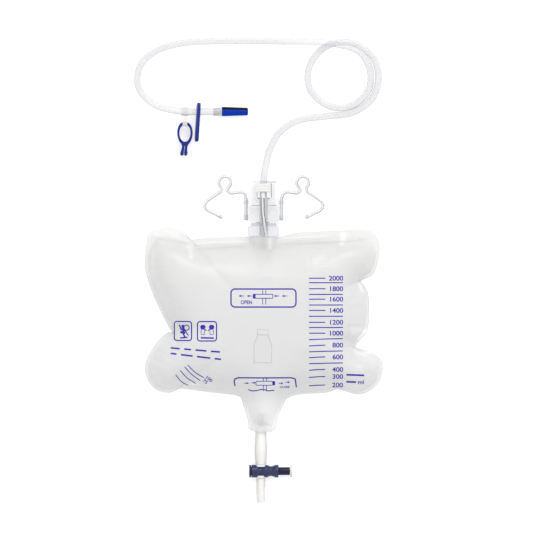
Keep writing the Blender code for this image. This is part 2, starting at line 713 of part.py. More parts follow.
def make_hanger_bracket():
    depth = 2 * SEAT_Z
    front, back = depth - WALL, WALL
    bracket = plate(
        "hanger_bracket", [bracket_outline()], depth, Matrix.Translation((0, 0, SEAT_Z)), CLEAR_MOULDED
    )
    soften(bracket, 1 * MM)
    lip_half = UPPER_HALF + LIP_OVERHANG
    lip = box(
        "bracket_lip",
        (-lip_half, BRACKET_TOP_Y - LIP_HEIGHT, GAP),
        (lip_half, BRACKET_TOP_Y, depth - GAP),
    )
    soften(lip, 0.5 * MM, 1)
    join(bracket, lip)
    for side in (-1, 1):
        for up in (LOW_EYE_UP, HIGH_EYE_UP):
            low = BRACKET_FOOT_Y + up
            profile = pipe_profile(ROD_R + GAP + EYE_WALL, ROD_R + GAP, low, low + EYE_HEIGHT)
            eye = turned("bracket_eye", profile, upright(side * HOOK_AXIS_X), steps=SMALL_STEPS)
            join(bracket, eye)
    inner = BODY_HALF - WALL
    upper_inner = UPPER_HALF - WALL
    lower = box("lower_room", (-inner, BRACKET_FOOT_Y + WAIST_HEIGHT + MM, back), (inner, CROSS_RIB_Y, front))
    waist = box(
        "waist_room",
        (WALL - WAIST_HALF, BRACKET_FOOT_Y - MM, back),
        (WAIST_HALF - WALL, BRACKET_FOOT_Y + WAIST_HEIGHT + 2 * MM, front),
    )
    top_y = BRACKET_TOP_Y - LIP_HEIGHT
    upper = box("upper_room", (-upper_inner, CROSS_RIB_Y + CROSS_RIB, back), (upper_inner, top_y, front))
    front_window = box(
        "front_window", (-WINDOW_HALF, WINDOW_Y, front - MM), (WINDOW_HALF, top_y, depth + MM)
    )
    through_window = box(
        "through_window",
        (-WINDOW_HALF, WINDOW_Y, -MM),
        (WINDOW_HALF, WINDOW_Y + WINDOW_HEIGHT, depth + MM),
    )
    chamber_hole = turned(
        "chamber_hole",
        rod_profile(CHAMBER_R + GAP, CROSS_RIB_Y - MM, CROSS_RIB_Y + CROSS_RIB + MM),
        upright(0),
    )
    tube_hole = turned("tube_hole", rod_profile(TUBE_R + GAP, top_y - MM, BRACKET_TOP_Y + MM), upright(0))
    cut(bracket, lower, waist, upper, front_window, through_window, chamber_hole, tube_hole)
    for side in (-1, 1):
        middle = side * STIFFENER_X
        stiffener = box(
            "stiffener",
            (middle - STIFFENER / 2, BRACKET_FOOT_Y + WAIST_HEIGHT + 2 * MM, front - 3 * MM),
            (middle + STIFFENER / 2, CROSS_RIB_Y + 0.5 * MM, front + 0.5 * MM),
        )
        join(bracket, stiffener)


def make_inlet_connector():
    """The ribbed block that the tube is bonded into, with the drip nozzle under it."""
    front = 2 * SEAT_Z + CONNECTOR_PROUD - RIB_PROUD
    block = box(
        "inlet_connector",
        (-CONNECTOR_HALF_WIDTH, CONNECTOR_Y, WALL + GAP),
        (CONNECTOR_HALF_WIDTH, CONNECTOR_TOP_Y, front),
        CLEAR_MOULDED,
    )
    pitch = CONNECTOR_HEIGHT / CONNECTOR_RIBS
    for index in range(CONNECTOR_RIBS):
        low = CONNECTOR_Y + (index + 0.25) * pitch
        rib = box(
            "connector_rib",
            (-CONNECTOR_HALF_WIDTH, low, front - MM),
            (CONNECTOR_HALF_WIDTH, low + pitch / 2, front + RIB_PROUD),
        )
        join(block, rib)
    nozzle = turned(
        "drip_nozzle",
        [
            (0, CONNECTOR_Y + MM), (NOZZLE_R, CONNECTOR_Y + MM), (NOZZLE_R, NOZZLE_TIP_Y + 2 * MM),
            (NOZZLE_R - 0.5 * MM, NOZZLE_TIP_Y), (0, NOZZLE_TIP_Y),
        ],
        upright(0),
        steps=SMALL_STEPS,
    )
    floor_y = CONNECTOR_TOP_Y - TUBE_SOCKET_DEPTH
    bore = turned(
        "connector_bore",
        [
            (0, CONNECTOR_TOP_Y + MM), (TUBE_R + GAP, CONNECTOR_TOP_Y + MM), (TUBE_R + GAP, floor_y),
            (NOZZLE_BORE_R, floor_y), (NOZZLE_BORE_R, NOZZLE_TIP_Y - MM), (0, NOZZLE_TIP_Y - MM),
        ],
        upright(0),
    )
    join(block, nozzle)
    cut(block, bore)


def make_drip_chamber():
    flare = 0.9 * MM
    inner = CHAMBER_R - CHAMBER_WALL
    turned(
        "drip_chamber",
        [
            (CHAMBER_R + flare, CHAMBER_TOP_Y), (CHAMBER_R + flare, CHAMBER_TOP_Y - 1.4 * MM),
            (CHAMBER_R, CHAMBER_TOP_Y - 2.4 * MM), (CHAMBER_R, CHAMBER_FOOT_Y),
            (inner, CHAMBER_FOOT_Y), (inner, CHAMBER_TOP_Y),
        ],
        upright(0),
        CLEAR_TUBE,
    )


def hook_points():
    angles = [
        math.radians(LOOP_FROM + (LOOP_TO - LOOP_FROM) * index / (LOOP_POINTS - 1))
        for index in range(LOOP_POINTS)
    ]
    loop = [
        (LOOP_CENTRE[0] - LOOP_R * math.cos(angle), LOOP_CENTRE[1] + LOOP_R * math.sin(angle))
        for angle in angles
    ]
    return HOOK_LEG + HOOK_RUN + loop + HOOK_ARM


def make_hook(name, side):
    """A bent rod with a foot that keeps its leg in the eyes and a ball at its tip."""
    place = Matrix.Translation((side * HOOK_AXIS_X, HOOK_FOOT_Y, SEAT_Z))
    points = smooth_path([(side * x * MM, y * MM, 0) for x, y in hook_points()], HOOK_POINT_SPACING)
    hook = as_mesh(rod(name, points, ROD_R, place, CLEAR_MOULDED, sides=2))
    foot = turned("hook_foot", rod_profile(FOOT_R, 0, FOOT_HEIGHT), place @ TO_Y, steps=SMALL_STEPS)
    tip = mesh_from(
        "hook_tip",
        lambda shape: bmesh.ops.create_uvsphere(shape, u_segments=12, v_segments=7, radius=HOOK_TIP_R),
    )
    join(hook, foot, add_object("hook_tip", tip, place @ Matrix.Translation(points[-1])))


def make_outlet_port():
    port = oval_stub(
        "outlet_port",
        OUTLET_STUB_HALF_WIDTH,
        OUTLET_STUB_HALF_DEPTH,
        OUTLET_STUB_FOOT_Y,
        OUTLET_STUB_FOOT_Y + OUTLET_STUB_LENGTH,
        OUTLET_X,
    )
    port.data.materials.append(CLEAR_MOULDED)
    foot = OUTLET_STUB_FOOT_Y - SPIGOT_LENGTH
    radius = OUTLET_TUBE_TOP_R - OUTLET_TUBE_WALL - GAP
    spigot = turned("port_spigot", rod_profile(radius, foot, OUTLET_STUB_FOOT_Y + MM), upright(OUTLET_X))
    top = OUTLET_STUB_FOOT_Y + OUTLET_STUB_LENGTH
    bore = turned("port_bore", rod_profile(OUTLET_BORE_R, foot - MM, top + MM), upright(OUTLET_X))
    join(port, spigot)
    cut(port, bore)


def make_outlet_tube():
    stations = [
        (OUTLET_TUBE_TOP_R, OUTLET_TUBE_TOP_Y),
        (OUTLET_TUBE_TOP_R, OUTLET_TUBE_TOP_Y - 12 * MM),
        (OUTLET_TUBE_MIDDLE_R, OUTLET_TUBE_TOP_Y - 0.6 * OUTLET_TUBE_LENGTH),
        ((OUTLET_TUBE_MIDDLE_R + OUTLET_TUBE_END_R) / 2, OUTLET_TUBE_TOP_Y - 0.78 * OUTLET_TUBE_LENGTH),
        (OUTLET_TUBE_END_R, OUTLET_TUBE_END_Y),
    ]
    bore = [(radius - OUTLET_TUBE_WALL, y) for radius, y in reversed(stations)]
    turned("outlet_tube", stations + bore, upright(OUTLET_X), CLEAR_TUBE)


def barrel_profile():
    """The tap barrel's waved outline, (radius, distance right of the outlet's axis)."""
    low, high = -BARREL_LEFT, BARREL_RIGHT
    profile = [(BARREL_R - BARREL_EDGE, low), (BARREL_R, low + BARREL_EDGE)]
    for index in range(FLUTES * FLUTE_STEPS + 1):
        turns = index / FLUTE_STEPS - 0.5
        depth = FLUTE_DEPTH / 2 * (1 + math.cos(2 * math.pi * turns))
        profile.append((BARREL_R - depth, turns * FLUTE_PITCH))
    profile += [(BARREL_R, high - BARREL_EDGE), (BARREL_R - BARREL_EDGE, high)]
    return list(reversed(profile)) + [(BARREL_BORE_R, low), (BARREL_BORE_R, high)]


def make_tap_body():
    """The tap's barrel, with a stub and its shoulder above and below for the two tubes."""
    place = Matrix.Translation((OUTLET_X, TAP_Y, SEAT_Z))
    body = turned("tap_body", barrel_profile(), place @ TO_X, NAVY)
    up_r = OUTLET_TUBE_END_R - OUTLET_TUBE_WALL - GAP
    down_r = SPOUT_R - SPOUT_WALL - GAP
    inside = BARREL_BORE_R + 0.3 * MM
    reach = TAP_STUB_LENGTH
    for radius, shoulder_r, bore_r, turn in (
        (up_r, OUTLET_TUBE_END_R, TAP_STUB_BORE_R, TO_Y @ HALF_STEP),
        (down_r, SPOUT_R, SPOUT_STUB_BORE_R, TO_Y.inverted() @ HALF_STEP),
    ):
        stub = turned(
            "tap_stub",
            [
                (0, reach), (radius, reach), (radius, TAP_SHOULDER), (shoulder_r, TAP_SHOULDER),
                (shoulder_r, inside), (0, inside),
            ],
            place @ turn,
        )
        port = turned("tap_port", rod_profile(bore_r, BARREL_BORE_R / 2, reach + MM), place @ turn)
        join(body, stub)
        cut(body, port)


def spool_profile():
    """The spool's outline along the barrel, from its button end to its head."""
    grooves = [OUTLET_X - SEAL_OFFSET, OUTLET_X + SEAL_OFFSET]
    waist_x = OUTLET_X + SPOOL_TRAVEL
    grooves.append(waist_x + SEAL_OFFSET)
    half_groove = SEAL_WIRE_R + GAP
    profile = [(0, SPOOL_HEAD_X - HEAD_THICK), (HEAD_R, SPOOL_HEAD_X - HEAD_THICK), (HEAD_R, SPOOL_HEAD_X)]
    profile.append((SPOOL_R, SPOOL_HEAD_X))
    half_waist = WAIST_LENGTH / 2
    steps = [(x - half_groove, x + half_groove, GROOVE_R) for x in grooves]
    steps.append((waist_x - half_waist, waist_x + half_waist, WAIST_R))
    for low, high, radius in sorted(steps):
        profile += [(SPOOL_R, low), (radius, low), (radius, high), (SPOOL_R, high)]
    profile += [(SPOOL_R, SPOOL_END_X), (0, SPOOL_END_X)]
    return list(reversed(profile)), grooves


def make_tap_spool():
    """The spool that slides in the barrel, its seals, and the button pressed into its end."""
    place = Matrix.Translation((0, TAP_Y, SEAT_Z)) @ TO_X
    profile, grooves = spool_profile()
    spool = turned("tap_spool", profile, place, DARK_VIOLET, steps=SPOOL_STEPS)
    socket_floor = SPOOL_END_X - BUTTON_SOCKET_DEPTH
    socket = turned(
        "button_socket", rod_profile(BUTTON_SOCKET_R, socket_floor, SPOOL_END_X + MM), place,
        steps=SMALL_STEPS,
    )
    cut(spool, socket)
    for index, x in enumerate(grooves):
        ring = []
        for step in range(6):
            angle = math.radians(60 * step)
            ring.append((SEAL_R + SEAL_WIRE_R * math.cos(angle), x - SEAL_WIRE_R * math.sin(angle)))
        turned(f"seal_ring_{index + 1}", ring, place, BLACK_RUBBER, steps=SMALL_STEPS)
    near = SPOOL_END_X + GAP
    far = near + BUTTON_THICK
    edge = 0.7 * MM
    peg = BUTTON_SOCKET_R - GAP
    turned(
        "spool_button",
        [
            (0, far), (BUTTON_R - edge, far), (BUTTON_R, far - edge), (BUTTON_R, near), (peg, near),
            (peg, socket_floor + GAP), (0, socket_floor + GAP),
        ],
        place,
        WHITE,
    )


def make_spout_tube():
    foot = SPOUT_TOP_Y - SPOUT_LENGTH
    bore = SPOUT_FOOT_R - SPOUT_WALL
    top_bore = SPOUT_R - SPOUT_WALL
    turned(
        "spout_tube",
        [
            (SPOUT_R, SPOUT_TOP_Y), (SPOUT_R, foot + SPOUT_TAPER), (SPOUT_FOOT_R, foot), (bore, foot),
            (top_bore, foot + SPOUT_TAPER), (top_bore, SPOUT_TOP_Y),
        ],
        upright(OUTLET_X),
        CLEAR_TUBE,
    )


def make_drainage_tube():
    start = CONNECTOR_TOP_Y - TUBE_SOCKET_DEPTH + GAP
    end = BRACKET_TOP_Y + TUBE_LEAD
    lead = [Vector((0, y, SEAT_Z)) for y in (start, (start + end) / 2, end)]
    route = lead + [Vector(point) * MM for point in TUBE_ROUTE]
    rod("drainage_tube", smooth_path(route, TUBE_POINT_SPACING), TUBE_R, material=CLEAR_TUBE)


def end_frame():
    """The empty at the start of the patient's end, with its Z axis along the connector."""
    frame = bpy.data.objects.new("patient_end", None)
    PARTS.objects.link(frame)
    frame.matrix_world = Matrix.Translation(END_START) @ Matrix.Rotation(math.pi / 2 + END_SLOPE, 4, "Y")
    return frame


def nose_radius(share):
    return NOSE_R + (NOSE_TIP_R - NOSE_R) * share


def make_patient_end():
    """The stepped connector in the tube's end, and the cap pushed over its nose."""
    frame = end_frame()
    collar_end = SLEEVE_LENGTH + COLLAR_LENGTH
    tip = collar_end + NOSE_LENGTH
    nose = []
    for index in range(NOSE_STEPS):
        start, end = index / NOSE_STEPS, (index + 1) / NOSE_STEPS
        nose.append((nose_radius(start), collar_end + NOSE_LENGTH * start))
        nose.append((nose_radius(start) - NOSE_TAPER, collar_end + NOSE_LENGTH * end))
    outer = [(SLEEVE_R, 0), (SLEEVE_END_R, SLEEVE_LENGTH), (SLEEVE_END_R, collar_end), *nose]
    inner = [
        (CONNECTOR_BORE_R, tip), (CONNECTOR_BORE_R, SLEEVE_LENGTH), (TUBE_R + GAP, SLEEVE_LENGTH),
        (TUBE_R + GAP, 0),
    ]
    connector = turned(
        "catheter_connector", list(reversed(outer + inner)), frame.matrix_world, CLEAR_MOULDED
    )
    mouth = collar_end + GAP
    far = mouth + CAP_LENGTH
    inner_mouth = NOSE_R + GAP + 0.1 * MM
    inner_far = nose_radius(1) + GAP + 0.2 * MM
    cap = turned(
        "protective_cap",
        [
            (0, far), (inner_far + CAP_WALL - 0.4 * MM, far), (inner_far + CAP_WALL, far - 0.6 * MM),
            (inner_mouth + CAP_WALL, mouth), (inner_mouth, mouth), (inner_far, far - CAP_END_WALL),
            (0, far - CAP_END_WALL),
        ],
        frame.matrix_world,
        BRIGHT_BLUE,
    )
    for piece in (connector, cap):
        place = piece.matrix_world.copy()
        piece.parent = frame
        piece.matrix_world = place


def arc(centre, radius, start, end, count):
    """Points round a circle's arc, with angles in degrees."""
    angles = [math.radians(start + (end - start) * index / (count - 1)) for index in range(count)]
    return [(centre[0] + radius * math.cos(a), centre[1] + radius * math.sin(a)) for a in angles]


def make_slide_clamp():
    half = CLAMP_WIDTH / 2
    corner = CLAMP_CORNER_R
    outline = []
    for x, y, start in (
        (half - corner, CLAMP_ABOVE - corner, 0),
        (corner - half, CLAMP_ABOVE - corner, 90),
        (corner - half, corner - CLAMP_BELOW, 180),
        (half - corner, corner - CLAMP_BELOW, 270),
    ):
        outline += arc((x, y), corner, start, start + 90, 6)
    meet = math.degrees(math.asin(CLAMP_SLOT / 2 / CLAMP_HOLE_R))
    keyhole = arc((0, 0), CLAMP_HOLE_R, meet - 90, 270 - meet, 22)
    keyhole += arc((0, CLAMP_SLOT / 2 - CLAMP_SLOT_END), CLAMP_SLOT / 2, 180, 360, 7)
    turn = Matrix.Rotation(-CLAMP_LEAN, 4, "Z") @ Matrix.Rotation(CLAMP_ROLL, 4, "Y")
    place = Matrix.Translation(CLAMP_AT) @ turn @ TO_X
    clamp = plate("slide_clamp", [outline, keyhole], CLAMP_THICK, place, BLUE)
    soften(clamp, 0.4 * MM, 1)


def make_sheet_clip():
    """One springy moulding: an oval handle that narrows into two jaws, with a bar for its strap."""
    right = [(x * MM, y * MM) for x, y in CLIP_OUTER]
    left = [(-x, y) for x, y in reversed(right[1:])]
    hole_right = [(x * MM, y * MM) for x, y in CLIP_INNER]
    hole_left = [(-x, y) for x, y in reversed(hole_right[1:-1])]
    place = Matrix.Translation(CLIP_BAR)
    clip = plate("sheet_clip", [right + left, hole_right + hole_left], CLIP_WIDTH, place, BLUE)
    soften(clip, 0.5 * MM, 1)
    gap = box(
        "bar_room", (-CLIP_BAR_HALF, -3 * MM, -CLIP_WIDTH), (CLIP_BAR_HALF, 3 * MM, CLIP_WIDTH)
    )
    gap.matrix_world = place
    reach = CLIP_BAR_HALF + 0.8 * MM
    bar = turned("strap_bar", rod_profile(CLIP_BAR_R, -reach, reach), place @ TO_X, steps=SMALL_STEPS)
    cut(clip, gap)
    join(clip, bar)


def make_clip_strap():
    """The soft strap: a collar round the tube, a stem, and a loop round the clip's bar."""
    collar_r = TUBE_R + STRAP_COLLAR_PLAY
    half = STRAP_COLLAR_LENGTH / 2
    strap = turned(
        "clip_strap",
        pipe_profile(collar_r + STRAP_COLLAR_WALL, collar_r, -half, half),
        Matrix.Translation(STRAP_COLLAR_AT) @ TO_X,
        SOFT_BLUSH,
    )
    loop_r = CLIP_BAR_R + GAP
    loop_half = STRAP_LOOP_LENGTH / 2
    loop = turned(
        "strap_loop",
        pipe_profile(loop_r + STRAP_LOOP_WALL, loop_r, -loop_half, loop_half),
        Matrix.Translation(CLIP_BAR) @ TO_X,
        steps=SMALL_STEPS,
    )
    down = (CLIP_BAR - STRAP_COLLAR_AT).normalized()
    start = STRAP_COLLAR_AT + down * (collar_r + STRAP_COLLAR_WALL / 2)
    end = CLIP_BAR - down * (loop_r + STRAP_LOOP_WALL / 2)
    stem = as_mesh(rod("strap_stem", [start, end], STRAP_STEM_R))
    join(strap, loop, stem)


make_bag()
make_spout_pocket()
make_inlet_port()
make_anti_reflux_flap()
make_hanger_bracket()
make_inlet_connector()
make_drip_chamber()
make_hook("hook_left", -1)
make_hook("hook_right", 1)
make_outlet_port()
make_outlet_tube()
make_tap_body()
make_tap_spool()
make_spout_tube()
make_drainage_tube()
make_patient_end()
make_slide_clamp()
make_sheet_clip()
make_clip_strap()
for piece in PARTS.objects:
    if piece.type == "MESH" and piece.name not in ("front_film", "back_film"):
        shade_round(piece.data)
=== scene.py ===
"""The looks of a urine drainage bag: its films, clear mouldings, tube, tap, clip and print.

Lengths are in metres, in the frame's axes: +X is the bag's right, +Y its top and +Z its front."""

import math

import bmesh
import bpy
import numpy as np
from mathutils import Matrix, Vector


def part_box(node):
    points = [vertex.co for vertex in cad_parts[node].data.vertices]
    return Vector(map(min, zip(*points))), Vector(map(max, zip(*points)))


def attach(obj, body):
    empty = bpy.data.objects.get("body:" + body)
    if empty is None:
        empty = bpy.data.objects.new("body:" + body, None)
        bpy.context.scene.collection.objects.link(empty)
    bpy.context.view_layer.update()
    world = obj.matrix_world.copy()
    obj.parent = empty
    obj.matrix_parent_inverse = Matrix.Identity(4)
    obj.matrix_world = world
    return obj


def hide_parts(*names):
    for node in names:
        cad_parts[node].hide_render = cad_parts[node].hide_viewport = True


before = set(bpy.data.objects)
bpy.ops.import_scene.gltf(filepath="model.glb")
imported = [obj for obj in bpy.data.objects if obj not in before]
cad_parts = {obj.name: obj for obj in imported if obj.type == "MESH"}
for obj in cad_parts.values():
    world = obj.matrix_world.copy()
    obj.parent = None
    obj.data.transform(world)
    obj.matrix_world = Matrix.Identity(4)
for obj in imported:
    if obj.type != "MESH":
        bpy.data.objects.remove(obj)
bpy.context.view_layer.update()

MM = 0.001
GAP = 0.3 * MM
FILLET = 0.3 * MM
SEAT_Z = 7.1 * MM  # height of the weld seam, the ports and the tap's axis
SIDES = 64  # facets round a turned piece
TINY = 1e-9
ROD_SIDES = 20
KNOT_STEPS = 20
SKIN_GRAIN, FILM_GRAIN = 900, 260
SKIN_DEPTH = 0.2 * MM

# Camera, straight above the bag, and the lamps.
VIEW_CENTRE = Vector((3.0, 79.2)) * MM
VIEW_WIDTH = 586.3 * MM
CAMERA_HEIGHT = 6.0
SENSOR = 36.0
AMBIENT = 0.83
KEY_AT = Vector((0.6, 1.9, 2.1))
KEY_SIZE = 1.2
KEY_POWER = 35
FLOOR_COLOUR = (0.62, 0.62, 0.62, 1)
FLOOR_GLOW = 0.62
FLOOR_HALF = 4.0
FLOOR_Z = -0.4 * MM

# The bag's outline, its left and right sides from top to bottom, in mm.
BAG_TOP_Y = 112 * MM
LEFT_RIM = [
    (-59, 111), (-79.5, 109), (-85.5, 115), (-96.5, 120), (-107, 122.5), (-117, 120),
    (-126.5, 114.5), (-129, 103), (-130.8, 85), (-129, 70), (-122, 49), (-111.5, 26),
    (-103, 10.5), (-100.5, 8), (-108.5, 5), (-118, -4.5), (-128, -21), (-130.8, -32.5),
    (-127.5, -45.5), (-118.5, -56), (-106, -59.5), (-97.5, -58), (-91.5, -55), (-64.5, -58.5),
    (-34.5, -62), (-25.5, -65), (-23, -73), (-18, -88), (-17, -98.8),
]
RIGHT_RIM = [
    (37, 116.5), (73, 118.5), (109, 119.5), (118.5, 117), (125.5, 109), (127.5, 98.5),
    (125, 82), (120, 70), (112.5, 66.5), (107, 63), (110, 59), (115, 49), (116, 29),
    (114, 9), (106, -1.5), (101, -8), (103, -10), (116, -14.5), (127.5, -21.5),
    (130.8, -32.5), (127.5, -46), (118, -56.5), (104.5, -61.5), (91, -58.5), (80.5, -56),
    (68.5, -59.5), (40, -61.5), (26.5, -65.5), (22, -72), (16, -85.5), (13, -98.8),
]
PORT_HALF_WIDTH = 17.2 * MM
NECK_END = (0.5 * MM, -102.5 * MM)
NECK_END_HALF = 8.6 * MM
BAG_MIDDLE = np.array((0, 20)) * MM
SIDE_WELD = 4 * MM
TOP_WELD = 9 * MM
TOP_WELD_FROM_Y = 90 * MM
FRONT_RISE = 39 * MM
BACK_DROP = 42 * MM
FILL_REACH = 66 * MM
FILL_POWER, FILL_ROOT = 2.6, 0.75
INSET_FLOOR = 0.01 * MM
SEAM_LIFT = 8 * MM
SEAM_LIFT_AT = 110 * MM
CREASES = [
    (-100.5, 8, 7, 7), (107, 63, 5, 6), (101, -8, 7, 7), (-81, 100, 3, 6), (85, 108, 2.5, 5),
    (-91.5, -55, 5, 6), (80.5, -56, 4, 6),
]
CREASE_LENGTH = 22 * MM
FILM = 0.4 * MM
STUB_CLEARANCE = 0.6 * MM
PUCKERS = ((9.3, 0.4, 0.5), (14.1, 2.0, 0.7), (23.7, 4.4, 0.8))  # pitch in mm, phase and size
PUCKER_HEIGHT, PUCKER_REACH = 0.5 * MM, 11 * MM
WAVE_HEIGHT = 0.45 * MM
WAVES_FROM, WAVES_FULL = 4 * MM, 30 * MM
RIM_COUNT, COARSE_COUNT = 640, 200
TOP_SHARES = (1.03, 0.5, 0, -0.5, -1.03)
FOOT_SHARES = (-1, -0.5, 0, 0.5, 1)
RINGS, RING_POWER = 110, 1.25
STUB_HALF_WIDTH = 13 * MM
STUB_HALF_DEPTH = 4.6 * MM
STUB_LENGTH = 14.5 * MM
OUTLET_X = -3.2 * MM
OUTLET_STUB_HALF_WIDTH = 9.1 * MM
OUTLET_STUB_HALF_DEPTH = 6.1 * MM
OUTLET_STUB_LENGTH = 16.2 * MM
OUTLET_STUB_FOOT_Y = NECK_END[1] + 5.6 * MM
PORT_PLAY = 2.4 * MM
PORT_EASE = 13.8 * MM

# Folds in the front film, and marks of painted highlight and shade on it: points in mm along the
# fold, its height, its half width and how much painted highlight it lays on the film, or painted
# shade where that is negative.
FOLDS_AND_PAINTED_LIGHT = [
    ([(-124, 117), (-106, 117), (-88, 112)], 0.3, 6.0, 0.3),
    ([(-126, 112.5), (-104, 108), (-84, 104.5), (-80.5, 99)], 1.0, 1.6, -0.8),
    ([(-84, 104), (-80.5, 96), (-79.5, 86)], 0.4, 2.4, 0.6),
    ([(-79, 97.2), (-45, 99.9), (-15, 101.2)], -0.3, 1.2, -0.7),
    ([(-79, 104), (-45, 105.8), (-14, 106.5)], 0.5, 0.9, 0.5),
    ([(11, 103), (50, 104.6), (82, 106.2), (97, 107), (124, 111.2)], -0.4, 1.3, -0.8),
    ([(15, 109.9), (50, 111.5), (79, 113.6)], 0.4, 0.9, 0.5),
    ([(87, 118), (87, 110), (85, 101)], 0.4, 3.4, 0.9),
    ([(102.5, 64), (106, 57), (110.5, 49)], 1.4, 1.6, 1.0),
    ([(108, 60), (114, 50), (114.5, 38)], 0.4, 2.4, -0.5),
    ([(89, 15.6), (102, 15.4), (115, 16.4)], 0.5, 1.2, -0.6),
    ([(94, 9), (104, 9.5), (111, 11)], 0.3, 5.0, 0.5),
    ([(114, 11), (107, 4), (101.5, -3)], 1.2, 1.5, 0.95),
    ([(96.5, -12.5), (108, -16.7), (120, -16)], 0.6, 1.9, 0.6),
    ([(-101, 7), (-96, 0), (-94, -9)], -1.0, 1.8, -0.3),
    ([(-92, -54), (-80, -50), (-70, -50)], 0.8, 1.6, 0.5),
    ([(-120, 100), (-123, 80), (-120, 60)], 0.4, 3.0, 0.3),
    ([(60, 70), (30, 66), (-10, 70)], 0.15, 5.0, 0.1),
    ([(-62, 84), (-50, 62), (-40, 50)], 0.2, 5.0, 0.08),
    ([(-12.3, -78), (-12.4, -88), (-12.4, -98)], 0.3, 1.6, 0.7),
    ([(7.9, -78), (7.9, -88), (7.6, -98)], 0.3, 1.5, 0.7),
    # Painted highlight on the film over the inlet stub.
    ([(6.4, 111.5), (6.5, 104), (6.6, 97)], 0.4, 2.6, 1.0),
    # Painted shade on the neck's film over the outlet plug, with no fold.
    ([(-3, -80), (-3, -95), (-3, -108)], 0, 8.0, -0.25),
]
FOLD_STARTS, FOLD_ENDS = (-0.01, 0.2), (0.8, 1.01)  # shares of its length where it fades

# Drainage tube: its route from the inlet connector to the patient's end, in mm.
TUBE_R = 3.7 * MM
TUBE_ROUTE = [
    (0, 163.4, 7.1), (0, 169.7, 7.1), (0, 176, 7.1), (2, 189, 6.6), (7, 209, 4.6),
    (19, 228.5, 3.8), (40, 240.5, 3.8), (68.5, 244.5, 3.8), (97, 248.5, 3.8), (118.5, 263, 3.8),
    (126.5, 285.5, 3.8), (121, 308.5, 3.8), (103, 323.5, 3.8), (80.5, 325.5, 3.8),
    (62, 316.5, 3.8), (49.5, 297, 3.8), (51.5, 273.5, 3.8), (71.5, 256, 3.8), (96, 256, 3.8),
    (114.5, 272, 3.8), (117.5, 293, 4.5), (109, 311.5, 7.5), (95.5, 320, 10.9), (70.5, 325, 11.8),
    (53, 326.5, 9.8), (37.5, 327, 6.9), (20, 327, 4.5), (2.5, 327.5, 3.8), (-46, 327.5, 3.8),
    (-86.5, 325.5, 3.8), (-117.5, 317, 3.8), (-136, 300, 3.8), (-137.5, 275.5, 3.9),
    (-119.5, 257, 5.6), (-92, 250, 8), (-72.5, 249.5, 8.1), (-60, 249.5, 7.5), (-48.4, 249.5, 6.6),
]
TUBE_STEP = 2.5 * MM

# Hooks, from the leg's axis and up from its foot, in mm.
ROD_R = 1.9 * MM
HOOK_AXIS_X = 19.5 * MM
HOOK_FOOT_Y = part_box("hook_right")[0].y
HOOK_LEG = [
    (0, 0.9), (0, 8), (0, 16), (0, 21), (0.2, 24.3), (1.9, 28.9), (5.8, 31.1), (15.7, 29.9),
    (19, 31), (20.7, 33.6),
]
LOOP_CENTRE = (23.3, 41.6)
LOOP_R = 6.6
LOOP_START, LOOP_END, LOOP_POINTS = 222, -46, 11
HOOK_ARM = [
    (27.4, 32.8), (30.2, 30), (36.6, 25.7), (43, 21), (45.5, 17.4), (45.2, 13.9),
    (41.9, 10.4), (35.7, 7.6), (30.4, 4.8), (27.6, 3.4),
]
HOOK_TIP_R = 2.3 * MM
FOOT_R = 2.3 * MM
FOOT_HEIGHT = 1.2 * MM
# Painted shade on the hooks: a thin dark bar offset to each rod's lower right, and a short one across
# its foot.
HOOK_SHADE_OFFSET = Vector((0.85, -1.2, 1.15)) * MM
FOOT_SHADE_LIFT = Vector((0, 0.3, 1.8)) * MM
FOOT_SHADE_HALF = Vector((1.9, 0, 0))
HOOK_SHADE_R, FOOT_SHADE_R = 0.4 * MM, 0.4

# Outlet tube, tap and spout.
OUTLET_TUBE_WALL = 1.25 * MM
OUTLET_TUBE_LOW, OUTLET_TUBE_HIGH = (corner.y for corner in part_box("outlet_tube"))
OUTLET_TUBE_SHAPE = [(6.1, 0), (6.1, 0.2), (6.5, 0.4), (7, 0.6), (6.6, 0.8), (6, 1)]  # radius, share
BARREL_R = SEAT_Z
BARREL_BORE_R = 4.8 * MM
BARREL_EDGE = 0.6 * MM
BARREL_LOW, BARREL_HIGH = (corner.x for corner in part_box("tap_body"))
TAP_LOW, TAP_HIGH = (corner.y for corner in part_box("tap_body"))
TAP_Y = (TAP_LOW + TAP_HIGH) / 2
TAP_REACH = (TAP_HIGH - TAP_LOW) / 2
TAP_SHOULDER = BARREL_R + GAP
FLUTE_DEPTH = 1.7 * MM
FLUTE_PITCH = 11.3 * MM
FLUTES = 2
SPOOL_R = 4.4 * MM
SPOOL_LOW, SPOOL_HIGH = (corner.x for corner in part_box("tap_spool"))
SPOOL_TRAVEL = 12.4 * MM
HEAD_R = 6.9 * MM
HEAD_THICK = 2.1 * MM
SEAL_OFFSET = 4.9 * MM
GROOVE_R = 3.2 * MM
GROOVE_HALF = 0.8 * MM
WAIST_R = 2.6 * MM
WAIST_HALF = 3.3 * MM
BUTTON_R = 6.5 * MM
BUTTON_THICK = 2.6 * MM
BUTTON_PEG_R = 1.9 * MM
BUTTON_PEG = 3.7 * MM
BUTTON_LIP, BUTTON_BEVEL, BUTTON_DISH = 1.4 * MM, 0.4 * MM, 0.4 * MM
OUTLET_STUB_BORE, SPOUT_STUB_BORE = 2.4 * MM, 1.8 * MM
SPOUT_R = 4.9 * MM
SPOUT_FOOT_R = 4.3 * MM
SPOUT_WALL = 1.3 * MM
SPOUT_LOW, SPOUT_HIGH = (corner.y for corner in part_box("spout_tube"))
SPOUT_TAPER = 9 * MM
BORE_GAP, BORE_WALL = 0.05 * MM, 0.4 * MM
CHAMBER_R = 4.6 * MM
CHAMBER_WALL = 1 * MM
CHAMBER_FLARE = 0.9 * MM
FLARE_FOOT, FLARE_END = 1.4 * MM, 2.4 * MM
CHAMBER_LOW, CHAMBER_HIGH = (corner.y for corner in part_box("drip_chamber"))

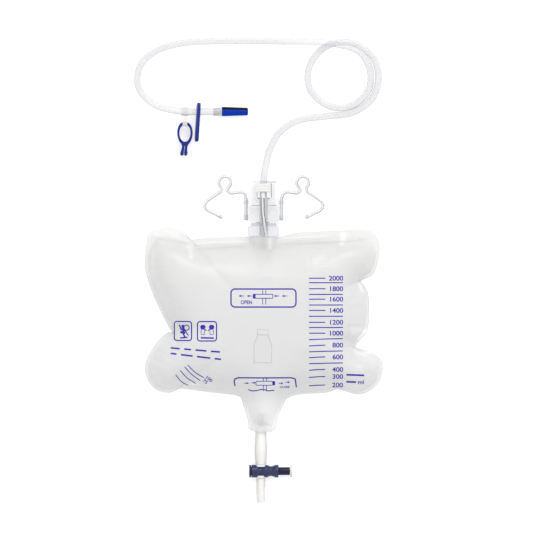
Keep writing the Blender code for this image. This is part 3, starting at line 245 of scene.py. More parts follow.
# Patient's end, slide clamp, sheet clip and strap.
END_START = Vector((-55.2, 249.5, 7.12)) * MM
END_SLOPE = math.radians(4.4)
SLEEVE_R = 4.5 * MM
SLEEVE_END_R = 4.9 * MM
SLEEVE_LENGTH = 7.4 * MM
COLLAR_LENGTH = 1.5 * MM
NOSE_R = 3.6 * MM
NOSE_TIP_R = 2.5 * MM
NOSE_LENGTH = 24.4 * MM
NOSE_STEPS = 3
NOSE_TAPER = 0.25 * MM
CONNECTOR_BORE_R = 1.7 * MM
CAP_WALL = 1 * MM
CAP_END_WALL = 1.4 * MM
CAP_LENGTH = 28.6 * MM
CAP_FLUTES = 10
CAP_RIB = (0.12 * MM, 2.5 * MM, 1.5 * MM, 0.3 * MM, 8)  # depth sunk, gaps at both ends, radius, sides
# Near-black bars along the cap's upper side, in the same columns: painted shade.
CAP_SHADE_BAR = (0.45 * MM, 0.5 * MM, 0.4 * MM, 0.85 * MM, 12)
SHADE_BAR_FROM, SHADE_BAR_STEP, SHADE_BAR_COUNT = 80, 11, 7
CLAMP_AT = Vector((-72, 249.5, 8.1)) * MM
CLAMP_LEAN = math.radians(3.4)
CLAMP_ROLL = math.radians(6)
CLAMP_THICK = 3.3 * MM
CLAMP_WIDTH = 15.6 * MM
CLAMP_ABOVE = 9.7 * MM
CLAMP_BELOW = 33 * MM
CLAMP_CORNER_R = 5 * MM
CLAMP_HOLE_R = 4.4 * MM
CLAMP_SLOT = 2.6 * MM
CLAMP_SLOT_END = 23.5 * MM
CLIP_BAR = Vector((-86.7, 236, 6.3)) * MM
CLIP_WIDTH = 12 * MM
CLIP_OUTER = [
    (2.6, 1.55), (3.4, 1.6), (5.8, -0.4), (7.6, -3.9), (8.4, -8.7), (8, -14), (6.3, -18.9),
    (4, -22.3), (3, -24.8), (3.2, -28), (3.9, -31.6), (3.8, -33.7), (2.6, -34.9), (1, -34.6),
    (0.35, -33), (0.3, -24),
]
CLIP_INNER = [
    (2.6, -1.8), (3.2, -2), (5.3, -4.9), (6.1, -8.9), (5.7, -13.4), (4, -17.3), (1.6, -19.3),
    (0, -19.6),
]
CLIP_BAR_R = 1.3 * MM
CLIP_LEAN = 1.3 * MM
LEAN_FROM, LEAN_FULL = 21 * MM, 35 * MM
CROSS_BAR_HALF = 3.4 * MM
# A near-black oval disc where the clip's arms overlap: a painted shadow.
SHADOW_SPOT_AT = Vector((-4.7, -18, 5.9)) * MM
SHADOW_SPOT_R, SHADOW_SPOT_THICK, SHADOW_SPOT_TURN = 1.2 * MM, 0.3 * MM, 0.75
STRAP_AT = Vector((-86.7, 249.8, 8.05)) * MM
STRAP_R = TUBE_R + 0.5 * MM
STRAP_WALL = 0.8 * MM
STRAP_LENGTH = 7.8 * MM
STRAP_LOOP_WALL = 1.1 * MM
STRAP_LOOP_LENGTH = 4 * MM
STRAP_STEM_R = 1.2 * MM

# Spout pocket: half widths at heights down the bag, in mm.
POCKET_X = -1.1
POCKET_TOP, POCKET_TOP_HALF = 4.5, 5.9
POCKET_FOOT, POCKET_FOOT_HALF = -26, 9.6
POCKET_COLUMNS = 24
POCKET_BULGE, POCKET_BULGE_HALF = 0.9, 9.7
POCKET_SIDE = [(5.9, 10.2), (5.9, 4.5), (7, 0), (9.2, -5), (9.6, -7.7), (9.6, -26)]
POCKET_LINE = 0.8
POCKET_LIFT, POCKET_LINE_LIFT = 0.15 * MM, 1.2 * MM

# The film's tint: its colours, and each change with the heights between which it fades.
COOL, WARM = np.array((0.76, 0.76, 0.765)), np.array((0.765, 0.758, 0.748))
# The colour that painted highlights and the pale top weld draw the film towards.
HIGHLIGHT_AND_WELD_TINT = np.array((0.98, 0.98, 0.97))
WARM_FROM, WARM_TO = 20 * MM, 105 * MM
# Painted light over the neck, which lies in shade between the films and the plug.
NECK_PAINTED_LIGHT = (0.24, -88 * MM, -52 * MM)
NECK_END_DARKER = (0.14, -108 * MM, -98 * MM)
NECK_WELD_DARKER = (0.09, -80 * MM, -60 * MM)
TOP_WELD_PALER = (0.12, 70 * MM, 105 * MM)
# Painted shade at the film's rim, where it turns edge-on; it also darkens folds whose painted light is
# negative.
RIM_SHADE = (1, 0.3 * MM, 1.6 * MM)  # between distances from the rim
PAINTED_SHADE_DEPTH = 0.14

# Print on the front film. Its points and widths are in mm.
PRINT_UP = 0.2 * MM
LINE = 1.5
CAPITALS = 0.69  # a capital's height as a share of its size
SHORT_TICKS = [66.4, 54.9, 43.5, 31.2, 18.2, 6.3, -6.8, -19.7, -33.5, -41.4, -50.9]
LONG_TICKS = [61.5, 48.7, 37.1, 24.8, 12.5, 0.2, -13.2, -26.3]
TICK_LEFT, TICK_SHORT, TICK_LONG = 49.5, 67.3, 86.6
TICK_LEVEL, TICK_DROP = 3, 0.9
VOLUMES = [2000, 1800, 1600, 1400, 1200, 1000, 800, 600, 400, 300, 200]
VOLUME_HEIGHT = 5.0
FOOT_LINES = [[(90.5, -39.4), (110, -40)], [(90.5, -47.2), (101, -47.5)]]
OPEN_FRAME = ((-35.8, 34.9), (35.2, 54.6), 4.4)
OPEN_ARROWS = [(-27.6, 47), (-18.9, 47), (10.65, 47), (19.4, 47)]
CLOSE_FRAME = [
    (-31.4, -52), (-32.5, -47), (-31.5, -44), (-28, -42.7), (30, -42.7), (34.5, -44), (35.8, -53.4),
]
CLOSE_FOOT = [
    (-17, -55.8), (-13.2, -57.2), (-8, -56.8), (-3.2, -55.5), (1.5, -55.8), (5, -57.1), (11.7, -56.4),
]
CLOSE_ARROWS = [(-16.1, -48.7), (-8.5, -48.2), (21.6, -48.7), (29.2, -47.6)]
SIGN_BAR_HALF, STEM_HALF, STEM_UP, STEM_DOWN, DARK_END = 2.2, 1.7, 6.6, 9, 2.6
SIGN_FRAMES = [((-98.2, -1.8), (-79, 19)), ((-72.5, -2.2), (-51.6, 19))]
SPLASH = [
    ([(-92.6, 15.4), (-90.2, 9.4)], 1.6), ([(-89, 15.2), (-87.6, 8)], 3),
    ([(-91.5, 7.5), (-86, 6.4)], 2.6), ([(-86.4, 9), (-82.4, 3.6)], 1.2),
    ([(-88.6, 6), (-86, 1.6)], 1.6), ([(-91.5, 0.9), (-83.5, 1.7)], 1.6),
]
RING_AT, RING_R, RING_GAP_FROM = (-84.6, 12.2), 2.9, 340
HANDS = ((-66.6, 1), (-57, -1))  # x of the middle, and the side of the thumb
PALM_HALF, PALM_FOOT, PALM_TOP = 2.9, 10.5, 15.4
CUFF_HALF, CUFF_FOOT = 1.9, 4.8
THUMB = ((2.4, 10.8), (3.9, 8.6))
HANDS_LINE = [(-69, 1.3), (-54.6, 0.9)]
# Pale lines along the edges of an embossed rectangle: painted highlight.
EMBOSS_HIGHLIGHT_LINES = [
    ([(51.5, 91), (51.5, 81.4), (73, 81.4)], 1.1), ([(54, 89.5), (71, 89.5), (73, 83)], 0.6),
]
WORD_ROWS = [
    ((-101.9, -9.9), (-47.8, -14.3), (10, 7.6, 12, 10)),
    ((-101.9, -15.9), (-46.7, -22.4), (6.4, 13, 14.5, 7)),
]
LOW_TICKS = [
    [(-83.3, -28.5), (-75.5, -36.5), (-65.9, -42.7)], [(-86.6, -30.6), (-79, -39), (-69.7, -45.9)],
    [(-91.5, -34.5), (-84, -43), (-74.6, -49.2)], [(-96.5, -39.4), (-90, -47.5), (-82.8, -51.4)],
]

# Painted shade lines in the clear bracket, under its lip, beside the connector and below its window: x
# and y of both ends, depth under its front, and radius, in mm.
BRACKET_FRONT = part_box("hanger_bracket")[1].z / MM
BRACKET_SHADE_LINES = [
    (3, 172.2, 14.2, 172.2, 0.5, 0.55), (-12.6, 172.6, -5, 172.2, 0.5, 0.3),
    (8.3, 155.2, 8.3, 170.6, 0.4, 0.55), (-13, 146.4, -4.9, 146.4, 0.6, 0.45),
    (5.2, 146.4, 13.8, 146.4, 0.6, 0.5), (-6.8, 154.2, -4.4, 154.2, 0.6, 0.8),
    (3.4, 154.2, 6.8, 154.2, 0.6, 0.6), (-7.4, 155, -7.4, 161, 0.4, 0.4),
    (-8.6, 127.6, -4.2, 127.2, 0.6, 0.5), (2.6, 127.4, 6.2, 127.8, 0.6, 0.4),
]
# Painted shade lines beside the nozzle: both ends and radius, in mm.
NOZZLE_SHADE_LINES = [((-3.6, 155, 10), (-3.6, 161, 10), 0.5), ((2.7, 155, 10), (2.7, 161, 10), 0.4)]
# White bars: painted light on the nozzle, which lies in shade, and a painted highlight on the film over
# the inlet port.
LIT_NOZZLE = ((-0.8, 161, 9.6), (-0.8, 154.4, 9.6), 2.7)
PORT_HIGHLIGHT = ((6.4, 111.5, 9.2), (6.6, 97, 9.2), 2.1)
# The route of a white rod down the chamber: a painted highlight streak, in the shape of a thin inner
# drip tube.
DRIP_STREAK_ROUTE = [(-1.4, 154.5, 11.8), (-1.2, 146, 12), (-0.9, 138, 12), (0.6, 127, 12), (2.6, 113, 12)]
# The streak rod's radius, and the radius and sideways shifts of the faint painted shade lines beside
# it.
DRIP_STREAK_R, DRIP_SHADE_R, DRIP_SHADE_SHIFTS = 1.05 * MM, 0.45 * MM, (-1.7, 1.7)
# Faint painted shadows of the connector's ribs: y of each, x of both ends, z and radius, in mm.
RIB_SHADOW_YS, RIB_SHADOW_ENDS, RIB_SHADOW_Z, RIB_SHADOW_R = (170.2, 167.4, 164.3), (-6.8, 7.2), 15, 0.2

TO_Y = Matrix.Rotation(-math.pi / 2, 4, "X")
TO_X = Matrix.Rotation(math.pi / 2, 4, "Y")


# Materials


def set_values(made, **values):
    """Sets a node's sockets, or its properties where no socket has the name."""
    for label, value in values.items():
        socket = made.inputs.get(label.replace("_", " "))
        if socket:
            socket.default_value = value
        else:
            setattr(made, label, value)


def node(owner, kind, **values):
    made = owner.node_tree.nodes.new(kind)
    set_values(made, **values)
    return made


def join(source, target):
    source.id_data.links.new(source, target)


def new_material(name):
    material = bpy.data.materials.new(name)
    material.use_nodes = True
    return material, material.node_tree.nodes["Principled BSDF"]


def noise_node(material, scale, detail):
    """A noise that is fixed in the piece."""
    place = node(material, "ShaderNodeTexCoord")
    noise = node(material, "ShaderNodeTexNoise", Scale=scale, Detail=detail)
    join(place.outputs["Object"], noise.inputs["Vector"])
    return noise


def mottled(material, first, second, scale):
    """Two close colours mixed by a noise."""
    noise = noise_node(material, scale, 4)
    mix = node(material, "ShaderNodeMix", data_type="RGBA", A=(*first, 1), B=(*second, 1))
    join(noise.outputs["Fac"], mix.inputs["Factor"])
    return mix.outputs[2], noise


def skin(material, shader, scale, strength):
    """A fine moulded skin as bump."""
    noise = noise_node(material, scale, 3)
    bump = node(material, "ShaderNodeBump", Strength=strength, Distance=SKIN_DEPTH)
    join(noise.outputs["Fac"], bump.inputs["Height"])
    join(bump.outputs["Normal"], shader.inputs["Normal"])


def plastic(name, first, second, roughness, alpha=1.0, mottle=60, relief=0.15, **more):
    """A moulded plastic of two close colours with a fine skin and uneven gloss."""
    material, shader = new_material(name)
    set_values(shader, Alpha=alpha, **more)
    colour, noise = mottled(material, first, second, mottle)
    gloss = node(material, "ShaderNodeMapRange", To_Min=roughness * 0.85, To_Max=roughness * 1.2)
    join(colour, shader.inputs["Base Color"])
    join(noise.outputs["Fac"], gloss.inputs["Value"])
    join(gloss.outputs["Result"], shader.inputs["Roughness"])
    skin(material, shader, SKIN_GRAIN, relief)
    return material


def glassy(name, first, second, roughness, core, edge=1.0, start=0.2, end=0.8, **more):
    """A clear plastic, which is clearest where it is seen square on."""
    material = plastic(name, first, second, roughness, **more)
    slant = node(material, "ShaderNodeLayerWeight", Blend=0.5)
    share = node(
        material, "ShaderNodeMapRange", interpolation_type="SMOOTHSTEP", From_Min=start,
        From_Max=end, To_Min=core, To_Max=edge,
    )
    join(slant.outputs["Facing"], share.inputs["Value"])
    join(share.outputs["Result"], material.node_tree.nodes["Principled BSDF"].inputs["Alpha"])
    return material


def film_material(name, alpha):
    """Matt clear film: its tint, which carries painted light and shade, is stored on the mesh, with a
    fine noise over it.
    """
    material, shader = new_material(name)
    set_values(shader, Alpha=alpha, Roughness=0.3, IOR=1.45)
    tint = node(material, "ShaderNodeAttribute", attribute_name="tint")
    grain, _ = mottled(material, (0.97, 0.97, 0.97), (1.0, 1.0, 1.0), 30)
    mix = node(material, "ShaderNodeMix", data_type="RGBA", blend_type="MULTIPLY", Factor=1)
    join(tint.outputs["Color"], mix.inputs["A"])
    join(grain, mix.inputs["B"])
    join(mix.outputs[2], shader.inputs["Base Color"])
    skin(material, shader, FILM_GRAIN, 0.06)
    return material


CLEAR_FILM = film_material("clear_film", 0.55)
CLEAR_BACK = film_material("clear_back_film", 0.4)
CLEAR_MOULDED = glassy("clear_moulded", (0.86, 0.87, 0.93), (0.92, 0.93, 0.97), 0.18, 0.08, 0.6)
CLEAR_PORT = glassy("clear_port", (0.74, 0.75, 0.8), (0.8, 0.81, 0.86), 0.18, 0.24, 0.6)
CLEAR_CHAMBER = glassy("clear_chamber", (0.86, 0.87, 0.93), (0.92, 0.93, 0.97), 0.18, 0.08, 0.3)
CLEAR_ROD = glassy("clear_rod", (0.68, 0.68, 0.71), (0.8, 0.8, 0.82), 0.2, 0.4, relief=0.01)
CLEAR_TUBE = glassy(
    "clear_tube", (0.68, 0.68, 0.71), (0.71, 0.71, 0.74), 0.2, 0.33, 1, 0.35, 0.8, relief=0.01
)
SOFT_TUBE = glassy(
    "soft_tube", (0.68, 0.68, 0.67), (0.74, 0.74, 0.73), 0.22, 0.01, 1, 0.25, 0.75, relief=0.01
)
SOLID_STUB = plastic("solid_stub", (0.9, 0.9, 0.89), (0.95, 0.95, 0.94), 0.25, 0.9)
MILKY_BORE = plastic("milky_bore", (0.94, 0.93, 0.905), (0.98, 0.975, 0.955), 0.35, 0.97)
OUTLET_PLUG = glassy("outlet_plug", (0.9, 0.86, 0.87), (0.95, 0.91, 0.92), 0.3, 0.12, 0.4)
FLAP = plastic("flap_film", (0.84, 0.84, 0.85), (0.9, 0.9, 0.9), 0.35, 0.08)
POCKET_FILM = plastic("pocket_film", (0.84, 0.84, 0.85), (0.9, 0.9, 0.9), 0.25, 0.12)
WELD = plastic("pocket_weld", (0.4, 0.39, 0.42), (0.5, 0.49, 0.52), 0.4, 0.35)
# Dark lines of painted shade on the hooks and in the bracket.
SHADE_LINE = plastic("painted_shade_line", (0.3, 0.3, 0.32), (0.4, 0.4, 0.42), 0.3, 0.52)
# Faint lines of painted shade beside the streak and across the connector.
FAINT_SHADE_LINE = plastic("faint_painted_shade", (0.4, 0.4, 0.43), (0.5, 0.5, 0.53), 0.3, 0.12)
# Pale lines of painted highlight on the film.
HIGHLIGHT_LINE = plastic("painted_highlight_line", (0.92, 0.92, 0.91), (0.96, 0.96, 0.95), 0.3, 0.4)
WHITE = plastic("white_plastic", (0.7, 0.7, 0.69), (0.76, 0.76, 0.75), 0.3)
BLUSH = glassy("blush_plastic", (0.84, 0.64, 0.58), (0.9, 0.74, 0.68), 0.3, 0.05, 0.6, 0.2, 0.8)
BLUE = plastic(
    "blue_plastic", (0.012, 0.026, 0.2), (0.018, 0.036, 0.26), 0.4, Specular_IOR_Level=0.12
)
CAP_BLUE = plastic(
    "cap_blue", (0.001, 0.026, 0.34), (0.002, 0.04, 0.44), 0.3, Specular_IOR_Level=0.06
)
# Near-black, for painted shade on the cap and the clip.
NEAR_BLACK = plastic(
    "near_black", (0.001, 0.001, 0.01), (0.002, 0.002, 0.02), 0.4, Specular_IOR_Level=0.1
)
NAVY = plastic(
    "navy_plastic", (0.008, 0.015, 0.058), (0.036, 0.05, 0.14), 0.27, mottle=260, relief=0.6,
    Specular_IOR_Level=0.35,
)
VIOLET = plastic(
    "spool_violet", (0.012, 0.009, 0.04), (0.03, 0.024, 0.075), 0.3, Specular_IOR_Level=0.15
)
RUBBER = plastic("black_rubber", (0.015, 0.015, 0.015), (0.03, 0.03, 0.03), 0.6)
INK = plastic(
    "violet_ink", (0.035, 0.02, 0.36), (0.05, 0.03, 0.42), 0.5, relief=0.02, Specular_IOR_Level=0.2
)


# Shapes, each as (points, faces)


def placed(shape, matrix):
    points, faces = shape
    return [matrix @ Vector(point) for point in points], faces


def lathe(profile, matrix, sides=SIDES):
    """A profile of (radius, height) points turned round Z. One that ends on the axis is solid."""
    points, rings = [], []
    for radius, height in profile:
        if radius < TINY:
            rings.append([len(points)])
            points.append((0, 0, height))
            continue
        rings.append(list(range(len(points), len(points) + sides)))
        for side in range(sides):
            angle = 2 * math.pi * side / sides
            points.append((radius * math.cos(angle), radius * math.sin(angle), height))
    if profile[-1][0] > TINY:
        rings.append(rings[0])
    faces = []
    for upper, lower in zip(rings, rings[1:]):
        for side in range(sides):
            after = (side + 1) % sides
            corners = [upper[side % len(upper)], lower[side % len(lower)]]
            corners += [lower[after % len(lower)], upper[after % len(upper)]]
            faces.append(tuple(dict.fromkeys(corners)))
    return placed((points, faces), matrix)


def filleted(profile, radius, steps=3):
    """The profile with its corners rounded, apart from those on the axis."""
    rounded = []
    for index, point in enumerate(profile):
        if point[0] < TINY:
            rounded.append(point)
            continue
        here = Vector(point)
        before = Vector(profile[index - 1]) - here
        after = Vector(profile[(index + 1) % len(profile)]) - here
        reach = min(radius, 0.45 * before.length, 0.45 * after.length)
        start, end = here + before.normalized() * reach, here + after.normalized() * reach
        for step in range(steps + 1):
            t = step / steps
            rounded.append(tuple(start * (1 - t) ** 2 + here * 2 * t * (1 - t) + end * t * t))
    return rounded


def sweep(path, radius, sides=ROD_SIDES):
    """A round bar with closed ends along a path."""
    path = [Vector(point) for point in path]
    points, faces = [], []
    side = None
    for index, point in enumerate(path):
        ahead = path[min(index + 1, len(path) - 1)] - path[max(index - 1, 0)]
        ahead.normalize()
        if side is None:
            side = ahead.orthogonal().normalized()
        side = (side - ahead * side.dot(ahead)).normalized()
        up = ahead.cross(side)
        for step in range(sides):
            angle = 2 * math.pi * step / sides
            points.append(point + (side * math.cos(angle) + up * math.sin(angle)) * radius)
    for ring in range(len(path) - 1):
        for step in range(sides):
            after = (step + 1) % sides
            low, high = ring * sides, (ring + 1) * sides
            faces.append((low + step, low + after, high + after, high + step))
    faces.append(tuple(reversed(range(sides))))
    faces.append(tuple(range(len(points) - sides, len(points))))
    return points, faces


def from_bmesh(build):
    shape = bmesh.new()
    build(shape)
    shape.verts.index_update()
    points = [vertex.co.copy() for vertex in shape.verts]
    faces = [tuple(vertex.index for vertex in face.verts) for face in shape.faces]
    shape.free()
    return points, faces


def ball(radius, matrix):
    return from_bmesh(lambda shape: bmesh.ops.create_uvsphere(
        shape, u_segments=24, v_segments=14, radius=radius, matrix=matrix
    ))


def add_object(name, data):
    made = bpy.data.objects.new(name, data)
    bpy.context.scene.collection.objects.link(made)
    return made


def add_spline(curve, points):
    spline = curve.splines.new("POLY")
    spline.points.add(len(points) - 1)
    for knot, point in zip(spline.points, points):
        knot.co = (*point, 1)
    return spline


def curve_mesh(curve):
    """The mesh that a curve or a text makes."""
    helper = add_object("helper", curve)
    bpy.context.view_layer.update()
    evaluated = helper.evaluated_get(bpy.context.evaluated_depsgraph_get())
    mesh = bpy.data.meshes.new_from_object(evaluated)
    bpy.data.objects.remove(helper)
    return mesh


def plate(outlines, thickness, radius, matrix, steps=3):
    """A flat plate with rounded edges, centred on its own XY plane. Later outlines are holes."""
    curve = bpy.data.curves.new("plate", "CURVE")
    curve.dimensions = "2D"
    curve.fill_mode = "BOTH"
    curve.extrude = thickness / 2
    for outline in outlines:
        add_spline(curve, [(x, y, 0) for x, y in outline]).use_cyclic_u = True
    mesh = curve_mesh(curve)

    def build(shape):
        shape.from_mesh(mesh)
        bmesh.ops.remove_doubles(shape, verts=shape.verts, dist=0.001 * MM)
        bmesh.ops.recalc_face_normals(shape, faces=shape.faces)
        shape.normal_update()
        rims = []
        for edge in shape.edges:
            upright_sum = sum(abs(face.normal.z) for face in edge.link_faces)
            if len(edge.link_faces) == 2 and abs(upright_sum - 1) < 0.1:
                rims.append(edge)
        bmesh.ops.bevel(shape, geom=rims, offset=radius, segments=steps, profile=0.5, affect="EDGES")

    made = from_bmesh(build)
    bpy.data.meshes.remove(mesh)
    return placed(made, matrix)


def arc(centre, radius, start, end, count):
    """Points round a circle's arc, with angles in degrees."""
    angles = [math.radians(start + (end - start) * index / (count - 1)) for index in range(count)]
    return [(centre[0] + radius * math.cos(a), centre[1] + radius * math.sin(a)) for a in angles]


def merged(shapes):
    points, faces = [], []
    for shape_points, shape_faces in shapes:
        base = len(points)
        points += [tuple(point) for point in shape_points]
        faces += [tuple(base + corner for corner in face) for face in shape_faces]
    return points, faces


def make_piece(name, shapes, material, body="root", replaces=(), slot=None, sharp=35, closed=True):
    """One object from several shapes, riding on a body."""
    points, faces = merged(shapes)
    mesh = bpy.data.meshes.new(name)
    mesh.from_pydata(points, [], faces)
    mesh.materials.append(material)
    if closed:
        shape = bmesh.new()
        shape.from_mesh(mesh)
        bmesh.ops.recalc_face_normals(shape, faces=shape.faces)
        shape.to_mesh(mesh)
        shape.free()
    smooth(mesh, sharp)
    made = add_object(name, mesh)
    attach(made, body)
    if replaces:
        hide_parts(*replaces)
    return made


def smooth(mesh, sharp=35):
    """Smooth shading that stays sharp at edges of more degrees than this."""
    mesh.shade_smooth()
    mesh.set_sharp_from_angle(angle=math.radians(sharp))


def turned(name, profile, fillet, place, material, more=(), **facts):
    """A turned piece with rounded corners, and more shapes in the same object."""
    make_piece(name, [lathe(filleted(profile, fillet), place), *more], material, **facts)


def on_curve(before, start, end, after, t):
    """A place between two knots of a smooth curve."""
    return (
        2 * start + (end - before) * t + (2 * before - 5 * start + 4 * end - after) * t**2
        + (3 * start - before - 3 * end + after) * t**3
    ) / 2


def smooth_path(points, spacing):
    """Points about a spacing apart along the smooth curve through the given ones."""
    points = [Vector(point) for point in points]
    padded = [2 * points[0] - points[1], *points, 2 * points[-1] - points[-2]]
    fine = []
    for knots in zip(padded, padded[1:], padded[2:], padded[3:]):
        fine += [on_curve(*knots, step / KNOT_STEPS) for step in range(KNOT_STEPS)]
    fine.append(points[-1])
    lengths = [0.0]
    for first, second in zip(fine, fine[1:]):
        lengths.append(lengths[-1] + (second - first).length)
    count = max(2, round(lengths[-1] / spacing))
    path, at = [], 0
    for index in range(count + 1):
        wanted = lengths[-1] * index / count
        while at < len(lengths) - 2 and lengths[at + 1] < wanted:
            at += 1
        share = (wanted - lengths[at]) / (lengths[at + 1] - lengths[at])
        path.append(fine[at].lerp(fine[at + 1], min(1, share)))
    return path


def smooth_line(points, spacing, scale=MM):
    """The same through (x, y) pairs, which are scaled first."""
    path = smooth_path([(x * scale, y * scale, 0) for x, y in points], spacing)
    return [(point.x, point.y) for point in path]


# The bag's films


def closed_curve(points, count):
    """Evenly spaced points on the smooth closed curve through the given ones."""
    points = np.array(points)
    fine = []
    for index in range(len(points)):
        knots = [points[(index + step) % len(points)] for step in (-1, 0, 1, 2)]
        fine += [on_curve(*knots, t) for t in np.arange(12) / 12]
    fine = np.array(fine + [fine[0]])
    lengths = np.concatenate([[0], np.cumsum(np.linalg.norm(np.diff(fine, axis=0), axis=1))])
    wanted = np.linspace(0, lengths[-1], count, endpoint=False)
    return np.stack([np.interp(wanted, lengths, fine[:, axis]) for axis in (0, 1)], axis=1)


def bag_rim(count):
    top = [(PORT_HALF_WIDTH * share, BAG_TOP_Y) for share in TOP_SHARES]
    foot = [(NECK_END[0] + NECK_END_HALF * share, NECK_END[1]) for share in FOOT_SHARES]
    left = [(x * MM, y * MM) for x, y in LEFT_RIM]
    right = [(x * MM, y * MM) for x, y in reversed(RIGHT_RIM)]
    return closed_curve([*top[2:], *left, *foot, *right, *top[:2]], count)


RIM = bag_rim(RIM_COUNT)
COARSE_RIM = bag_rim(COARSE_COUNT)


def to_polyline(points, line, closed):
    """The distance from each point to a line, and how far along it the nearest place is."""
    starts = line if closed else line[:-1]
    ends = np.roll(line, -1, axis=0) if closed else line[1:]
    steps = ends - starts
    squared = (steps**2).sum(1)
    lengths = np.concatenate([[0], np.cumsum(np.sqrt(squared))[:-1]])
    nearest = np.full(len(points), np.inf)
    along = np.zeros(len(points))
    for start, step, length_squared, length in zip(starts, steps, squared, lengths):
        share = np.clip((points - start) @ step / length_squared, 0, 1)
        distance = np.linalg.norm(start + share[:, None] * step - points, axis=1)
        closer = distance < nearest
        nearest[closer] = distance[closer]
        along[closer] = length + share[closer] * math.sqrt(length_squared)
    return nearest, along


def inset(points):
    """How far inside the rim each point is: a distance that changes smoothly everywhere."""
    total = np.zeros(len(points))
    for first, second in zip(COARSE_RIM, np.roll(COARSE_RIM, -1, axis=0)):
        along = (second - first) / np.linalg.norm(second - first)
        offset = first - points
        start, end = offset @ along, (second - points) @ along
        aside = np.abs(along[0] * offset[:, 1] - along[1] * offset[:, 0])
        aside = np.maximum(INSET_FLOOR, aside)
        total += (end / np.hypot(aside, end) - start / np.hypot(aside, start)) / (2 * aside**2)
    return 1 / np.sqrt(np.maximum(total, TINY))


def ease(value, low, high):
    share = np.clip((value - low) / (high - low), 0, 1)
    return share * share * (3 - 2 * share)


def seam_height(points):
    return SEAT_Z + SEAM_LIFT * np.minimum(1, (points[:, 0] / SEAM_LIFT_AT) ** 2)


def weld_width(points):
    return SIDE_WELD + (TOP_WELD - SIDE_WELD) * ease(points[:, 1], TOP_WELD_FROM_Y, BAG_TOP_Y)


def fullness(points, distance):
    share = np.clip((distance - weld_width(points)) / FILL_REACH, 0, 1)
    return (1 - (1 - share) ** FILL_POWER) ** FILL_ROOT


def crease_depth(points):
    total = np.zeros(len(points))
    for x, y, depth, width in CREASES:
        start = np.array((x, y)) * MM
        inward = (BAG_MIDDLE - start) / np.linalg.norm(BAG_MIDDLE - start)
        along = (points - start) @ inward
        aside = np.linalg.norm(points - start - along[:, None] * inward, axis=1)
        depth_here = depth * MM * np.exp(-((aside / (width * MM)) ** 2) - along / CREASE_LENGTH)
        total += np.where(along > 0, depth_here, 0)
    return total


def oval(offset, half_width):
    return np.sqrt(np.maximum(0, 1 - (offset / half_width) ** 2))


def port_shares(points):
    x, y = points[:, 0], points[:, 1]
    stub_foot = BAG_TOP_Y + GAP - STUB_LENGTH
    low = stub_foot - MM
    inlet = oval(x, STUB_HALF_WIDTH + PORT_PLAY) * ease(y, low - PORT_EASE, low)
    top = OUTLET_STUB_FOOT_Y + OUTLET_STUB_LENGTH
    neck = 1 - ease(y, top, top + PORT_EASE)
    return inlet, oval(x - OUTLET_X, OUTLET_STUB_HALF_WIDTH + PORT_PLAY) * neck


def fold_shares(points):
    """How much each fold lifts the film at each point, and the painted highlight it lays there, which
    is painted shade where negative.
    """
    lift, lightening = np.zeros(len(points)), np.zeros(len(points))
    for line, height, half_width, painted_light in FOLDS_AND_PAINTED_LIGHT:
        path = np.array(smooth_line(line, 2 * MM))
        distance, along = to_polyline(points, path, False)
        along = along / np.linalg.norm(np.diff(path, axis=0), axis=1).sum()
        ends = ease(along, *FOLD_STARTS) * (1 - ease(along, *FOLD_ENDS))
        reach = distance / (half_width * MM)
        lift += height * MM * np.exp(-reach) * ends
        lightening += painted_light * np.exp(-(reach**2)) * ends
    return lift, lightening


def wrinkles(points, distance, along):
    """Puckers that run in from the weld, and slow waves over the whole film."""
    inner = np.maximum(0, distance - weld_width(points))
    pucker = sum(
        size * np.sin(along / (pitch * MM) * 2 * math.pi + phase) for pitch, phase, size in PUCKERS
    )
    x, y = points[:, 0] / MM, points[:, 1] / MM
    waves = (
        np.sin(x / 21 + 0.6 * np.sin(y / 33)) * np.sin(y / 27 + 1.1)
        + 0.6 * np.sin(x / 11 + y / 17 + 2) * np.sin(y / 13 - x / 31)
    )
    return (
        PUCKER_HEIGHT * pucker * np.exp(-inner / PUCKER_REACH) * ease(inner, 0, WAVES_FROM)
        + WAVE_HEIGHT * waves * ease(inner, WAVES_FROM, WAVES_FULL)
    )


def front_height(points):
    """Height of the front film's outer face at each (x, y)."""
    distance, along = to_polyline(points, RIM, True)
    inlet, outlet = port_shares(points)
    full = fullness(points, inset(points))
    clear = GAP + STUB_CLEARANCE
    rise = np.maximum(0, FRONT_RISE * full - crease_depth(points) * np.minimum(1, 2 * full))
    around = np.maximum(inlet * (STUB_HALF_DEPTH + clear), outlet * (OUTLET_STUB_HALF_DEPTH + clear))
    height = seam_height(points) + np.maximum(rise, around) + GAP / 2 + FILM
    return height + wrinkles(points, distance, along) + fold_shares(points)[0], distance


def back_height(points):
    distance, _ = to_polyline(points, RIM, True)
    full = fullness(points, inset(points))
    drop = np.maximum(np.maximum(*port_shares(points)) * SEAT_Z, full * BACK_DROP)
    return np.maximum(0, seam_height(points) - drop - GAP / 2 - FILM), distance


def fade(value, amount, low, high):
    """The amount below a range of values, and nothing above it."""
    return amount * (1 - ease(value, low, high))


